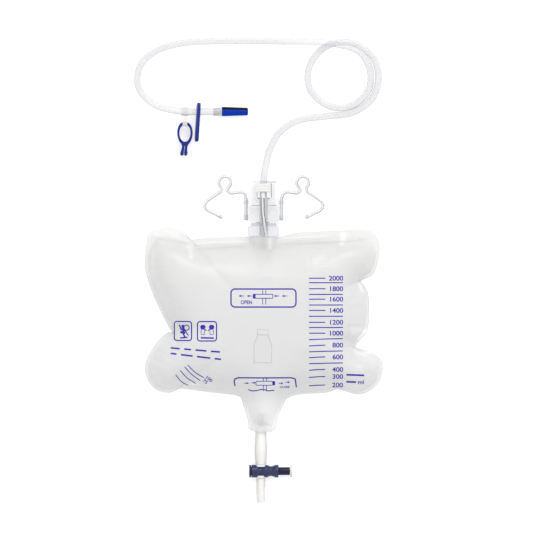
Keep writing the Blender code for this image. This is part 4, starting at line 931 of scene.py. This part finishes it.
def film_tint(points, distance):
    """The film's colour: warm at the top, paler at its top weld and darker towards its neck's end and
    at the neck's welds, with painted light over the neck, painted shade at the rim, and painted
    highlight and shade along the folds.
    """
    y, width = points[:, 1], weld_width(points)
    weld = fade(distance, 1, width - MM, width + MM)
    # The neck's painted light, less towards its end and at its welds.
    neck = fade(y, *NECK_PAINTED_LIGHT) - fade(y, *NECK_END_DARKER) - weld * fade(y, *NECK_WELD_DARKER)
    tint = COOL + (WARM - COOL) * ease(y, WARM_FROM, WARM_TO)[:, None] + neck[:, None]
    paler, *heights = TOP_WELD_PALER
    lightening = fold_shares(points)[1] + paler * weld * ease(y, *heights)
    # Painted shade at the rim and along folds with negative painted light, taken off where a fold has
    # painted highlight.
    rim = np.clip(fade(distance, *RIM_SHADE) - lightening, 0, 1)
    tint = tint * (1 - PAINTED_SHADE_DEPTH * rim)[:, None]
    return tint + (HIGHLIGHT_AND_WELD_TINT - tint) * np.clip(lightening, 0, 1)[:, None]


def film_rings(rings):
    """The film's grid: copies of the rim drawn in to the bag's middle, closer together near the rim."""
    shares = (np.arange(rings) / rings) ** RING_POWER
    flat = RIM[None] + (BAG_MIDDLE - RIM)[None] * shares[:, None, None]
    return np.concatenate([flat.reshape(-1, 2), BAG_MIDDLE[None]])


def film_faces(rings, flip):
    faces = []
    steps = [(i, (i + 1) % RIM_COUNT) for i in range(RIM_COUNT)]
    for ring in range(rings - 1):
        low, high = ring * RIM_COUNT, (ring + 1) * RIM_COUNT
        faces += [(low + i, low + after, high + after, high + i) for i, after in steps]
    last = (rings - 1) * RIM_COUNT
    faces += [(last + i, last + after, last + RIM_COUNT) for i, after in steps]
    return [face[::-1] for face in faces] if flip else faces


def make_film(name, heights, material, rings, flip):
    flat = film_rings(rings)
    height, distance = heights(flat)
    shape = np.column_stack([flat, height]).tolist(), film_faces(rings, flip)
    made = make_piece(
        f"{name}_skin", [shape], material, replaces=(name,), slot="clear_film", sharp=70, closed=False
    )
    tint = np.column_stack([film_tint(flat, distance), np.ones(len(flat))])
    layer = made.data.attributes.new("tint", "FLOAT_COLOR", "POINT")
    layer.data.foreach_set("color", tint.astype(np.float32).ravel())


def make_bag():
    make_film("front_film", front_height, CLEAR_FILM, RINGS, False)
    make_film("back_film", back_height, CLEAR_BACK, RINGS // 2, True)


# Print on the front film


def ribbon(points, width=LINE, closed=False, spacing=1.5):
    """A flat line in mm as (points, faces), with points close enough to follow the film."""
    points = [Vector(point) for point in points]
    if closed:
        points.append(points[0])
    fine = []
    for start, end in zip(points, points[1:]):
        count = max(1, math.ceil((end - start).length / spacing))
        fine += [start.lerp(end, step / count) for step in range(count)]
    fine.append(points[-1])
    corners, faces = [], []
    for index, point in enumerate(fine):
        if closed:
            ahead = fine[(index + 1) % (len(fine) - 1)] - fine[index - 1 if index else -2]
        else:
            ahead = fine[min(index + 1, len(fine) - 1)] - fine[max(index - 1, 0)]
        across = Vector((-ahead.y, ahead.x)).normalized() * width / 2
        corners += [point - across, point + across]
    for index in range(len(fine) - 1):
        at = 2 * index
        faces.append((at, at + 2, at + 3, at + 1))
    return corners, faces


def frame_outline(low, high, radius, count=7):
    """A rounded rectangle's outline, anticlockwise, with a count of points at each corner."""
    left, right = low[0] + radius, high[0] - radius
    foot, top = low[1] + radius, high[1] - radius
    outline = []
    for index, centre in enumerate(((right, top), (left, top), (left, foot), (right, foot))):
        outline += arc(centre, radius, 90 * index, 90 * index + 90, count)
    return outline


def lettering(text, place, height, turn=0.0, align="LEFT", wide=1.1):
    """Plain letters or figures in mm, with their baseline's end at a place."""
    curve = bpy.data.curves.new("lettering", "FONT")
    curve.body = text
    curve.size = height / CAPITALS
    curve.align_x = align
    curve.offset = 0.03 * height
    mesh = curve_mesh(curve)
    turned, place = Matrix.Rotation(math.radians(turn), 2), Vector(place)
    points = [turned @ Vector((knot.co.x * wide, knot.co.y)) + place for knot in mesh.vertices]
    faces = [tuple(face.vertices) for face in mesh.polygons]
    bpy.data.meshes.remove(mesh)
    return points, faces


def arrow(x, y, length):
    """A short arrow with its point at the left end, or at the right if the length is negative."""
    back = x + 0.5 * length
    shaft = ribbon([(back, y), (x + length, y)], 0.7)
    return [shaft, ([(x, y), (back, y + 1.2), (back, y - 1.2)], [(0, 1, 2)])]


def filled(outline):
    return outline, [tuple(range(len(outline)))]


def make_print(name, shapes, material=INK, up=PRINT_UP, slot="violet_ink"):
    """Print, a weld line, or lines of painted highlight, laid on the front film."""
    points, faces = merged(shapes)
    flat = np.array(points)[:, :2] * MM
    laid = np.column_stack([flat, front_height(flat)[0] + up])
    make_piece(name, [(laid.tolist(), faces)], material, slot=slot, sharp=80, closed=False)


def make_scale_print():
    shapes = []
    for ticks, right in ((SHORT_TICKS, TICK_SHORT), (LONG_TICKS, TICK_LONG)):
        for y in ticks:
            drop = TICK_DROP if y < TICK_LEVEL else 0
            middle = (TICK_LEFT + right) / 2, y - 0.3 * drop
            shapes.append(ribbon([(TICK_LEFT, y - drop), middle, (right, y)], 1.1))
    for volume, y in zip(VOLUMES, SHORT_TICKS):
        place = TICK_LONG + 0.4, y - VOLUME_HEIGHT / 2
        shapes.append(lettering(str(volume), place, VOLUME_HEIGHT, 0, "RIGHT"))
    shapes += [ribbon(line, 1.9) for line in FOOT_LINES]
    shapes.append(lettering("ml", (103, -49.6), 4.4))
    make_print("scale_print", shapes)


def tap_sign(x, y, left, right, dark_end):
    """The tap's outline: a bar with a stem across it and one dark end."""
    low, high = y - SIGN_BAR_HALF, y + SIGN_BAR_HALF
    left, right = x - left, x + right
    shapes = [ribbon([(left, low), (right, low), (right, high), (left, high)], 0.8, True)]
    for side in (x - STEM_HALF, x + STEM_HALF):
        shapes.append(ribbon([(side, high), (side, y + STEM_UP)], 0.7))
        shapes.append(ribbon([(side, low), (side, y - STEM_DOWN)], 0.7))
    end = left if dark_end < 0 else right
    far = end + DARK_END
    shapes.append(filled([(end, low), (far, low), (far, high), (end, high)]))
    return shapes


def make_open_print():
    shapes = [ribbon(frame_outline(*OPEN_FRAME), LINE, True)]
    for x, y in OPEN_ARROWS:
        shapes += arrow(x, y, 6.4)
    shapes += tap_sign(0.5, 46.7, 12, 9.4, -1)
    shapes.append(lettering("OPEN", (-25.3, 38.2), 3.9, wide=0.86))
    make_print("open_print", shapes)


def make_close_print():
    shapes = [ribbon(CLOSE_FRAME, 1.4), ribbon(CLOSE_FOOT, 1.1)]
    for x, y in CLOSE_ARROWS:
        shapes += arrow(x, y, -5.4)
    shapes += tap_sign(1.3, -48.6, 9.8, 8.5, 1)
    shapes.append(lettering("CLOSE", (17.5, -54), 2.3))
    make_print("close_print", shapes)


def make_sign_print():
    """Two framed signs, a splash beside a ring and a pair of gloved hands, and pale lines of painted
    highlight along an embossed rectangle.
    """
    shapes = [ribbon(frame_outline(low, high, 3), 1.3, True) for low, high in SIGN_FRAMES]
    shapes.append(ribbon(arc(RING_AT, RING_R, 0, RING_GAP_FROM, 16), 1.1, True))
    shapes += [ribbon(line, width) for line, width in SPLASH]
    for x, side in HANDS:
        palm = frame_outline((x - PALM_HALF, PALM_FOOT), (x + PALM_HALF, PALM_TOP), 2.3)
        cuff = frame_outline((x - CUFF_HALF, CUFF_FOOT), (x + CUFF_HALF, PALM_FOOT), 0.8)
        thumb = [(x + side * aside, y) for aside, y in THUMB]
        shapes += [filled(palm), ribbon(cuff, 0.6, True), ribbon(thumb, 1)]
    shapes.append(ribbon(HANDS_LINE, 1.7))
    make_print("sign_print", shapes)
    # Painted highlight along the embossed rectangle's edges.
    label = [ribbon(line, width) for line, width in EMBOSS_HIGHLIGHT_LINES]
    make_print("emboss_painted_highlight", label, HIGHLIGHT_LINE, slot="clear_film")


def make_bar_print():
    """Two rows of plain bars in the place of words."""
    shapes = []
    for start, end, lengths in WORD_ROWS:
        start, end = Vector(start), Vector(end)
        whole = (end - start).length
        space = (whole - sum(lengths)) / (len(lengths) - 1)
        at = 0
        for length in lengths:
            first, last = start.lerp(end, at / whole), start.lerp(end, (at + length) / whole)
            shapes.append(ribbon([first, last], 1.8))
            at += length + space
    make_print("bar_print", shapes)


def make_low_scale_print():
    """The slanting scale for small volumes at the bag's lower left."""
    shapes = [ribbon(smooth_line(line, 1.5, 1), 0.9) for line in LOW_TICKS]
    shapes.append(lettering("100", (-64.5, -42.5), 3.6, -40))
    shapes.append(lettering("75", (-67.5, -46.4), 3.6, -40))
    make_print("low_scale_print", shapes)


# Clear and coloured pieces


def make_hooks():
    loop = arc(LOOP_CENTRE, LOOP_R, LOOP_START, LOOP_END, LOOP_POINTS)
    for name, side in (("hook_left", -1), ("hook_right", 1)):
        axis = Vector((side * HOOK_AXIS_X, HOOK_FOOT_Y, SEAT_Z))
        knots = [axis + Vector((side * x, y, 0)) * MM for x, y in HOOK_LEG + loop + HOOK_ARM]
        path = smooth_path(knots, MM)
        foot = [(0, FOOT_HEIGHT), (FOOT_R, FOOT_HEIGHT), (FOOT_R, 0), (0, 0)]
        rod = [sweep(path, ROD_R), ball(HOOK_TIP_R, Matrix.Translation(path[-1]))]
        turned(
            f"{name}_rod", foot, FILLET, Matrix.Translation(axis) @ TO_Y, CLEAR_ROD, rod, body=name,
            replaces=(name,), slot="clear_moulded",
        )
        # A thin dark bar along the rod and one across its foot: painted shade.
        shade_bar = sweep([point + HOOK_SHADE_OFFSET for point in path], HOOK_SHADE_R, 10)
        low = (axis + FOOT_SHADE_LIFT) / MM
        shapes = [shade_bar, bar(low - FOOT_SHADE_HALF, low + FOOT_SHADE_HALF, FOOT_SHADE_R)]
        make_piece(f"{name}_seam", shapes, SHADE_LINE, body=name, slot="clear_moulded")


def make_drainage_tube():
    curve = bpy.data.curves.new("drainage_tube_hose", "CURVE")
    curve.dimensions = "3D"
    curve.bevel_depth = TUBE_R
    curve.bevel_resolution = 6
    curve.use_fill_caps = True
    path = smooth_path([Vector(point) * MM for point in TUBE_ROUTE], TUBE_STEP)
    add_spline(curve, path).use_smooth = True
    curve.materials.append(CLEAR_TUBE)
    tube = add_object("drainage_tube_hose", curve)
    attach(tube, "root")
    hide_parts("drainage_tube")


def upright(x):
    return Matrix.Translation((x, 0, SEAT_Z)) @ TO_Y


def bar(start, end, radius):
    """A straight bar between two points in mm."""
    start, end = Vector(start) * MM, Vector(end) * MM
    return sweep([start.lerp(end, step / 8) for step in range(9)], radius * MM, 12)


def make_pipe(name, outer, wall, replaced):
    """A clear pipe on the outlet's axis, from its outer side's profile, and its milky inside."""
    inner = [(radius - wall, height) for radius, height in reversed(outer)]
    turned(
        f"{name}_skin", [*outer, *inner], FILLET, upright(OUTLET_X), SOFT_TUBE,
        replaces=(replaced,), slot="clear_tube",
    )
    inner = [(radius - wall + BORE_GAP, height) for radius, height in outer]
    rest = [(radius - BORE_WALL, height) for radius, height in reversed(inner)]
    bore = lathe([*inner, *rest], upright(OUTLET_X))
    make_piece(f"{name}_bore", [bore], MILKY_BORE, slot="clear_tube")


def make_outlet():
    """The soft outlet tube, the clear spout and the chamber above the bag."""
    length = OUTLET_TUBE_HIGH - OUTLET_TUBE_LOW
    rough = [(radius * MM, OUTLET_TUBE_HIGH - share * length) for radius, share in OUTLET_TUBE_SHAPE]
    make_pipe("outlet_tube", smooth_line(rough, 1.5 * MM, 1), OUTLET_TUBE_WALL, "outlet_tube")
    taper = SPOUT_LOW + SPOUT_TAPER
    spout = [(SPOUT_R, SPOUT_HIGH), (SPOUT_R, taper), (SPOUT_FOOT_R, SPOUT_LOW)]
    make_pipe("spout", spout, SPOUT_WALL, "spout_tube")
    flare, bore = CHAMBER_R + CHAMBER_FLARE, CHAMBER_R - CHAMBER_WALL
    chamber = [
        (flare, CHAMBER_HIGH), (flare, CHAMBER_HIGH - FLARE_FOOT),
        (CHAMBER_R, CHAMBER_HIGH - FLARE_END), (CHAMBER_R, CHAMBER_LOW), (bore, CHAMBER_LOW),
        (bore, CHAMBER_HIGH),
    ]
    turned(
        "drip_chamber_skin", chamber, FILLET, upright(0), CLEAR_CHAMBER, replaces=("drip_chamber",),
        slot="clear_tube",
    )


def make_tap():
    """The fluted barrel with its pale stubs, the spool and its button."""
    low, high = BARREL_LOW - OUTLET_X, BARREL_HIGH - OUTLET_X
    edge = BARREL_R - BARREL_EDGE
    barrel = [(BARREL_BORE_R, low), (edge, low), (BARREL_R, low + BARREL_EDGE)]
    for index in range(FLUTES * 24 + 1):
        turns = index / 24 - 0.5
        depth = FLUTE_DEPTH / 2 * (1 + math.cos(2 * math.pi * turns))
        barrel.append((BARREL_R - depth, turns * FLUTE_PITCH))
    barrel += [(BARREL_R, high - BARREL_EDGE), (edge, high), (BARREL_BORE_R, high)]
    place = Matrix.Translation((OUTLET_X, TAP_Y, SEAT_Z))
    shapes = [lathe(barrel, place @ TO_X)]
    make_piece("tap_barrel", shapes, NAVY, replaces=("tap_body",), slot="navy_plastic")
    stubs = []
    inside = BARREL_BORE_R + 0.1 * MM
    for shoulder, wall, bore, turn in (
        (OUTLET_TUBE_SHAPE[-1][0] * MM, OUTLET_TUBE_WALL, OUTLET_STUB_BORE, TO_Y),
        (SPOUT_R, SPOUT_WALL, SPOUT_STUB_BORE, TO_Y.inverted()),
    ):
        radius = shoulder - wall - GAP
        profile = [
            (bore, TAP_REACH), (radius, TAP_REACH), (radius, TAP_SHOULDER), (shoulder, TAP_SHOULDER),
            (shoulder, inside), (bore, inside),
        ]
        stubs.append(lathe(profile, place @ turn))
    make_piece("tap_stubs", stubs, SOLID_STUB, slot="clear_moulded")

    waist = OUTLET_X + SPOOL_TRAVEL
    seals = (OUTLET_X - SEAL_OFFSET, OUTLET_X + SEAL_OFFSET, waist + SEAL_OFFSET)
    steps = [(x - GROOVE_HALF, x + GROOVE_HALF, GROOVE_R) for x in seals]
    steps.append((waist - WAIST_HALF, waist + WAIST_HALF, WAIST_R))
    head = SPOOL_LOW + HEAD_THICK
    spool = [(0, SPOOL_LOW), (HEAD_R, SPOOL_LOW), (HEAD_R, head), (SPOOL_R, head)]
    for start, end, radius in sorted(steps):
        spool += [(SPOOL_R, start), (radius, start), (radius, end), (SPOOL_R, end)]
    socket, socket_end = BUTTON_PEG_R + GAP, SPOOL_HIGH - BUTTON_PEG - GAP
    spool += [(SPOOL_R, SPOOL_HIGH), (socket, SPOOL_HIGH), (socket, socket_end), (0, socket_end)]
    along = Matrix.Translation((0, TAP_Y, SEAT_Z)) @ TO_X
    turned(
        "spool_bar", spool, 0.25 * MM, along, VIOLET, body="tap_spool", replaces=("tap_spool",),
        slot="spool_violet",
    )
    near = SPOOL_HIGH + GAP
    far, peg_end = near + BUTTON_THICK, near - BUTTON_PEG
    dish, lip = far - BUTTON_DISH, BUTTON_R - BUTTON_LIP
    button = [
        (0, dish), (lip - BUTTON_BEVEL, dish), (lip, far), (BUTTON_R, far), (BUTTON_R, near),
        (BUTTON_PEG_R, near), (BUTTON_PEG_R, peg_end), (0, peg_end),
    ]
    turned(
        "button_cap", button, 0.5 * MM, along, WHITE, body="tap_spool", replaces=("spool_button",),
        slot="white_plastic",
    )


def make_patient_end():
    place = Matrix.Translation(END_START) @ Matrix.Rotation(math.pi / 2 + END_SLOPE, 4, "Y")
    socket, collar = TUBE_R + GAP, SLEEVE_LENGTH + COLLAR_LENGTH
    profile = [(socket, 0), (SLEEVE_R, 0), (SLEEVE_END_R, SLEEVE_LENGTH), (SLEEVE_END_R, collar)]
    for index in range(NOSE_STEPS):
        start, end = index / NOSE_STEPS, (index + 1) / NOSE_STEPS
        radius = NOSE_R + (NOSE_TIP_R - NOSE_R) * start
        profile.append((radius, collar + NOSE_LENGTH * start))
        profile.append((radius - NOSE_TAPER, collar + NOSE_LENGTH * end))
    profile += [(CONNECTOR_BORE_R, collar + NOSE_LENGTH), (CONNECTOR_BORE_R, SLEEVE_LENGTH)]
    turned(
        "connector_skin", [*profile, (socket, SLEEVE_LENGTH)], 0.2 * MM, place, CLEAR_TUBE,
        replaces=("catheter_connector",), slot="clear_moulded",
    )
    mouth = collar + GAP
    far = mouth + CAP_LENGTH
    mouth_r, far_r = NOSE_R + GAP + 0.1 * MM, NOSE_TIP_R + GAP + 0.2 * MM
    cap = [
        (0, far), (far_r + CAP_WALL, far), (mouth_r + CAP_WALL, mouth), (mouth_r, mouth),
        (far_r, far - CAP_END_WALL), (0, far - CAP_END_WALL),
    ]

    def cap_bar(angle, sunk, from_mouth, from_far, radius, sides):
        """A bar along the cap's side, partly sunk in it."""
        out = Vector((math.cos(angle), math.sin(angle), 0))
        start, end = out * (mouth_r + CAP_WALL - sunk), out * (far_r + CAP_WALL - sunk)
        start.z, end.z = mouth + from_mouth, far - from_far
        return placed(sweep([start, end], radius, sides), place)

    ribs = [cap_bar(2 * math.pi * index / CAP_FLUTES, *CAP_RIB) for index in range(CAP_FLUTES)]
    # Painted shade along the cap's upper side, as near-black bars.
    angles = [math.radians(SHADE_BAR_FROM + SHADE_BAR_STEP * index) for index in range(SHADE_BAR_COUNT)]
    shade_bars = [cap_bar(angle, *CAP_SHADE_BAR) for angle in angles]
    make_piece("cap_painted_shade", shade_bars, NEAR_BLACK, body="protective_cap", slot="cap_blue")
    turned(
        "cap_skin", cap, 0.5 * MM, place, CAP_BLUE, ribs, body="protective_cap",
        replaces=("protective_cap",), slot="cap_blue",
    )


def make_slide_clamp():
    half = CLAMP_WIDTH / 2
    outline = frame_outline((-half, -CLAMP_BELOW), (half, CLAMP_ABOVE), CLAMP_CORNER_R, 14)
    meet = math.degrees(math.asin(CLAMP_SLOT / 2 / CLAMP_HOLE_R))
    keyhole = arc((0, 0), CLAMP_HOLE_R, meet - 90, 270 - meet, 40)
    keyhole += arc((0, CLAMP_SLOT / 2 - CLAMP_SLOT_END), CLAMP_SLOT / 2, 180, 360, 14)
    turn = Matrix.Rotation(-CLAMP_LEAN, 4, "Z") @ Matrix.Rotation(CLAMP_ROLL, 4, "Y")
    place = Matrix.Translation(CLAMP_AT) @ turn @ TO_X
    make_piece(
        "clamp_plate", [plate([outline, keyhole], CLAMP_THICK, 0.5 * MM, place)], BLUE,
        body="slide_clamp", replaces=("slide_clamp",), slot="blue_plastic",
    )


def make_sheet_clip():
    """The clip's two arms, which meet in its jaws, and the bar across its open top."""
    outer, inner = smooth_line(CLIP_OUTER, 0.6 * MM), smooth_line(CLIP_INNER, 0.6 * MM)
    left = [(-x, y) for x, y in reversed(outer)]
    hole = [(-x, y) for x, y in inner[:-1]] + inner[::-1]
    outline = [(x - CLIP_LEAN * ease(-y, LEAN_FROM, LEAN_FULL), y) for x, y in outer + left + hole]
    place = Matrix.Translation(CLIP_BAR)
    make_piece(
        "clip_arms", [plate([outline], CLIP_WIDTH, 0.5 * MM, place)], BLUE, body="sheet_clip",
        replaces=("sheet_clip",), slot="blue_plastic",
    )
    half = CROSS_BAR_HALF
    profile = [(0, -half), (CLIP_BAR_R, -half), (CLIP_BAR_R, half), (0, half)]
    shapes = [lathe(profile, place @ TO_X, 24)]
    make_piece("clip_cross_bar", shapes, BLUSH, body="sheet_clip", slot="blush_plastic")
    # The painted shadow where the arms overlap.
    spot = Matrix.Translation(CLIP_BAR + SHADOW_SPOT_AT) @ Matrix.Rotation(SHADOW_SPOT_TURN, 4, "Z")
    profile = [(0, 0), (SHADOW_SPOT_R, 0), (SHADOW_SPOT_R, SHADOW_SPOT_THICK), (0, SHADOW_SPOT_THICK)]
    shapes = [lathe(profile, spot @ Matrix.Diagonal((0.8, 1.2, 1, 1)), 24)]
    make_piece("clip_shadow_spot", shapes, NEAR_BLACK, body="sheet_clip", slot="blue_plastic")


def make_clip_strap():
    def ring(radius, wall, length, at):
        outer, half = radius + wall, length / 2
        profile = [(outer, half), (outer, -half), (radius, -half), (radius, half)]
        return lathe(filleted(profile, FILLET), Matrix.Translation(at) @ TO_X, 40)

    down = (CLIP_BAR - STRAP_AT).normalized()
    loop_r = CLIP_BAR_R + GAP
    start = STRAP_AT + down * (STRAP_R + STRAP_WALL / 2)
    end = CLIP_BAR - down * (loop_r + STRAP_LOOP_WALL / 2)
    shapes = [
        ring(STRAP_R, STRAP_WALL, STRAP_LENGTH, STRAP_AT),
        ring(loop_r, STRAP_LOOP_WALL, STRAP_LOOP_LENGTH, CLIP_BAR),
        sweep([start.lerp(end, step / 6) for step in range(7)], STRAP_STEM_R, 16),
    ]
    make_piece("strap_skin", shapes, BLUSH, replaces=("clip_strap",), slot="blush_plastic")


def make_bracket_details():
    """Painted shade lines in the clear bracket; white bars that paint light on the nozzle, the
    highlight streak down the chamber and a highlight at the port; and faint painted shade lines beside
    the streak and across the connector.
    """
    # The bracket's painted shade lines.
    shapes = [
        bar((x0, y0, BRACKET_FRONT - depth), (x1, y1, BRACKET_FRONT - depth), radius)
        for x0, y0, x1, y1, depth, radius in BRACKET_SHADE_LINES
    ]
    shapes += [bar(*ends) for ends in NOZZLE_SHADE_LINES]
    make_piece("bracket_painted_shade", shapes, SHADE_LINE, slot="clear_moulded")
    # Painted highlight streak, painted light on the nozzle and a painted highlight at the port, as
    # white bars.
    path = smooth_path([Vector(point) * MM for point in DRIP_STREAK_ROUTE], 1.5 * MM)
    shapes = [sweep(path, DRIP_STREAK_R), bar(*LIT_NOZZLE), bar(*PORT_HIGHLIGHT)]
    make_piece("drip_painted_highlight", shapes, SOLID_STUB, slot="clear_tube")
    # Faint dark lines beside the streak and across the connector: painted shade.
    sides = []
    for shift in DRIP_SHADE_SHIFTS:
        sides.append(sweep([point + Vector((shift, 0, -1)) * MM for point in path], DRIP_SHADE_R))
    left, right = RIB_SHADOW_ENDS
    sides += [bar((left, y, RIB_SHADOW_Z), (right, y, RIB_SHADOW_Z), RIB_SHADOW_R) for y in RIB_SHADOW_YS]
    make_piece("drip_painted_shade", sides, FAINT_SHADE_LINE, slot="clear_tube")


def make_spout_pocket():
    """The pocket for the folded spout: a clear patch on the front film with its weld lines."""
    side = smooth_line(POCKET_SIDE, 0.7, 1)
    flat, faces = [], []
    for half, y in side:
        for step in range(POCKET_COLUMNS + 1):
            flat.append((POCKET_X + half * (2 * step / POCKET_COLUMNS - 1), y))
    for row in range(len(side) - 1):
        for step in range(POCKET_COLUMNS):
            low = row * (POCKET_COLUMNS + 1) + step
            high = low + POCKET_COLUMNS + 1
            faces.append((low, high, high + 1, low + 1))
    flat = np.array(flat)
    bulge = POCKET_BULGE * (1 - ((flat[:, 0] - POCKET_X) / POCKET_BULGE_HALF) ** 2) * MM
    height = front_height(flat * MM)[0] + POCKET_LIFT + np.maximum(0, bulge)
    points = np.column_stack([flat * MM, height])
    make_piece(
        "pocket_skin", [(points.tolist(), faces)], POCKET_FILM, replaces=("spout_pocket",),
        slot="clear_film", closed=False,
    )
    left = [(POCKET_X - half, y) for half, y in reversed(side)]
    lines = [left + [(POCKET_X + half, y) for half, y in side]]
    for half, y in ((POCKET_TOP_HALF, POCKET_TOP), (POCKET_FOOT_HALF, POCKET_FOOT)):
        lines.append([(POCKET_X - half, y), (POCKET_X + half, y)])
    welds = [ribbon(line, POCKET_LINE) for line in lines]
    make_print("pocket_weld", welds, WELD, up=POCKET_LINE_LIFT, slot="clear_film")


def finish_nodes():
    """The CAD pieces that stay as they are take their full materials."""
    finishes = {
        "hanger_bracket": CLEAR_MOULDED, "inlet_port": CLEAR_PORT, "inlet_connector": SOLID_STUB,
        "outlet_port": OUTLET_PLUG, "anti_reflux_flap": FLAP,
        "seal_ring_1": RUBBER, "seal_ring_2": RUBBER, "seal_ring_3": RUBBER,
    }
    for name, material in finishes.items():
        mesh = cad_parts[name].data
        mesh.materials.clear()
        mesh.materials.append(material)
        smooth(mesh)


# Stage


def camera_share(owner):
    """1 for rays that show the background, straight, in a gloss or through a clear piece."""
    path = node(owner, "ShaderNodeLightPath")
    found = path.outputs["Is Camera Ray"]
    for label in ("Is Glossy Ray", "Is Transmission Ray"):
        either = node(owner, "ShaderNodeMath", operation="MAXIMUM")
        join(found, either.inputs[0])
        join(path.outputs[label], either.inputs[1])
        found = either.outputs[0]
    return found


def between(owner, low, high):
    scale = node(owner, "ShaderNodeMapRange", To_Min=low, To_Max=high)
    join(camera_share(owner), scale.inputs["Value"])
    return scale.outputs["Result"]


def make_stage():
    world = bpy.data.worlds.new("studio")
    world.use_nodes = True
    bpy.context.scene.world = world
    background = world.node_tree.nodes["Background"]
    background.inputs["Color"].default_value = (1, 1, 1, 1)
    join(between(world, AMBIENT, 1), background.inputs["Strength"])

    floor_material, shader = new_material("floor")
    floor_material.node_tree.nodes.remove(shader)
    diffuse = node(floor_material, "ShaderNodeBsdfDiffuse", Color=FLOOR_COLOUR)
    glow = node(floor_material, "ShaderNodeEmission")
    join(between(floor_material, 0, FLOOR_GLOW), glow.inputs["Strength"])
    add = node(floor_material, "ShaderNodeAddShader")
    join(diffuse.outputs[0], add.inputs[0])
    join(glow.outputs[0], add.inputs[1])
    join(add.outputs[0], floor_material.node_tree.nodes["Material Output"].inputs["Surface"])
    mesh = bpy.data.meshes.new("floor")
    corners = [(-1, -1), (1, -1), (1, 1), (-1, 1)]
    points = [(x * FLOOR_HALF, y * FLOOR_HALF, FLOOR_Z) for x, y in corners]
    mesh.from_pydata(points, [], [(0, 1, 2, 3)])
    mesh.materials.append(floor_material)
    add_object("floor", mesh)

    lamp = bpy.data.lights.new("key", "AREA")
    lamp.shape = "RECTANGLE"
    lamp.size, lamp.size_y = 1.3 * KEY_SIZE, KEY_SIZE
    lamp.energy = KEY_POWER
    key = add_object("key", lamp)
    key.location = KEY_AT
    key.rotation_euler = (-KEY_AT).to_track_quat("-Z", "Y").to_euler()
    key.visible_camera = False


def make_camera():
    data = bpy.data.cameras.new("camera")
    data.sensor_width = SENSOR
    data.lens = SENSOR * (CAMERA_HEIGHT - SEAT_Z) / VIEW_WIDTH
    camera = add_object("camera", data)
    camera.location = (*VIEW_CENTRE, CAMERA_HEIGHT)
    bpy.context.scene.camera = camera


bpy.context.scene.view_settings.view_transform = "Standard"
make_camera()
make_stage()
make_drainage_tube()
make_bag()
make_hooks()
make_outlet()
make_tap()
make_patient_end()
make_slide_clamp()
make_sheet_clip()
make_clip_strap()
make_bracket_details()
make_spout_pocket()
finish_nodes()
make_scale_print()
make_open_print()
make_close_print()
make_sign_print()
make_bar_print()
make_low_scale_print()
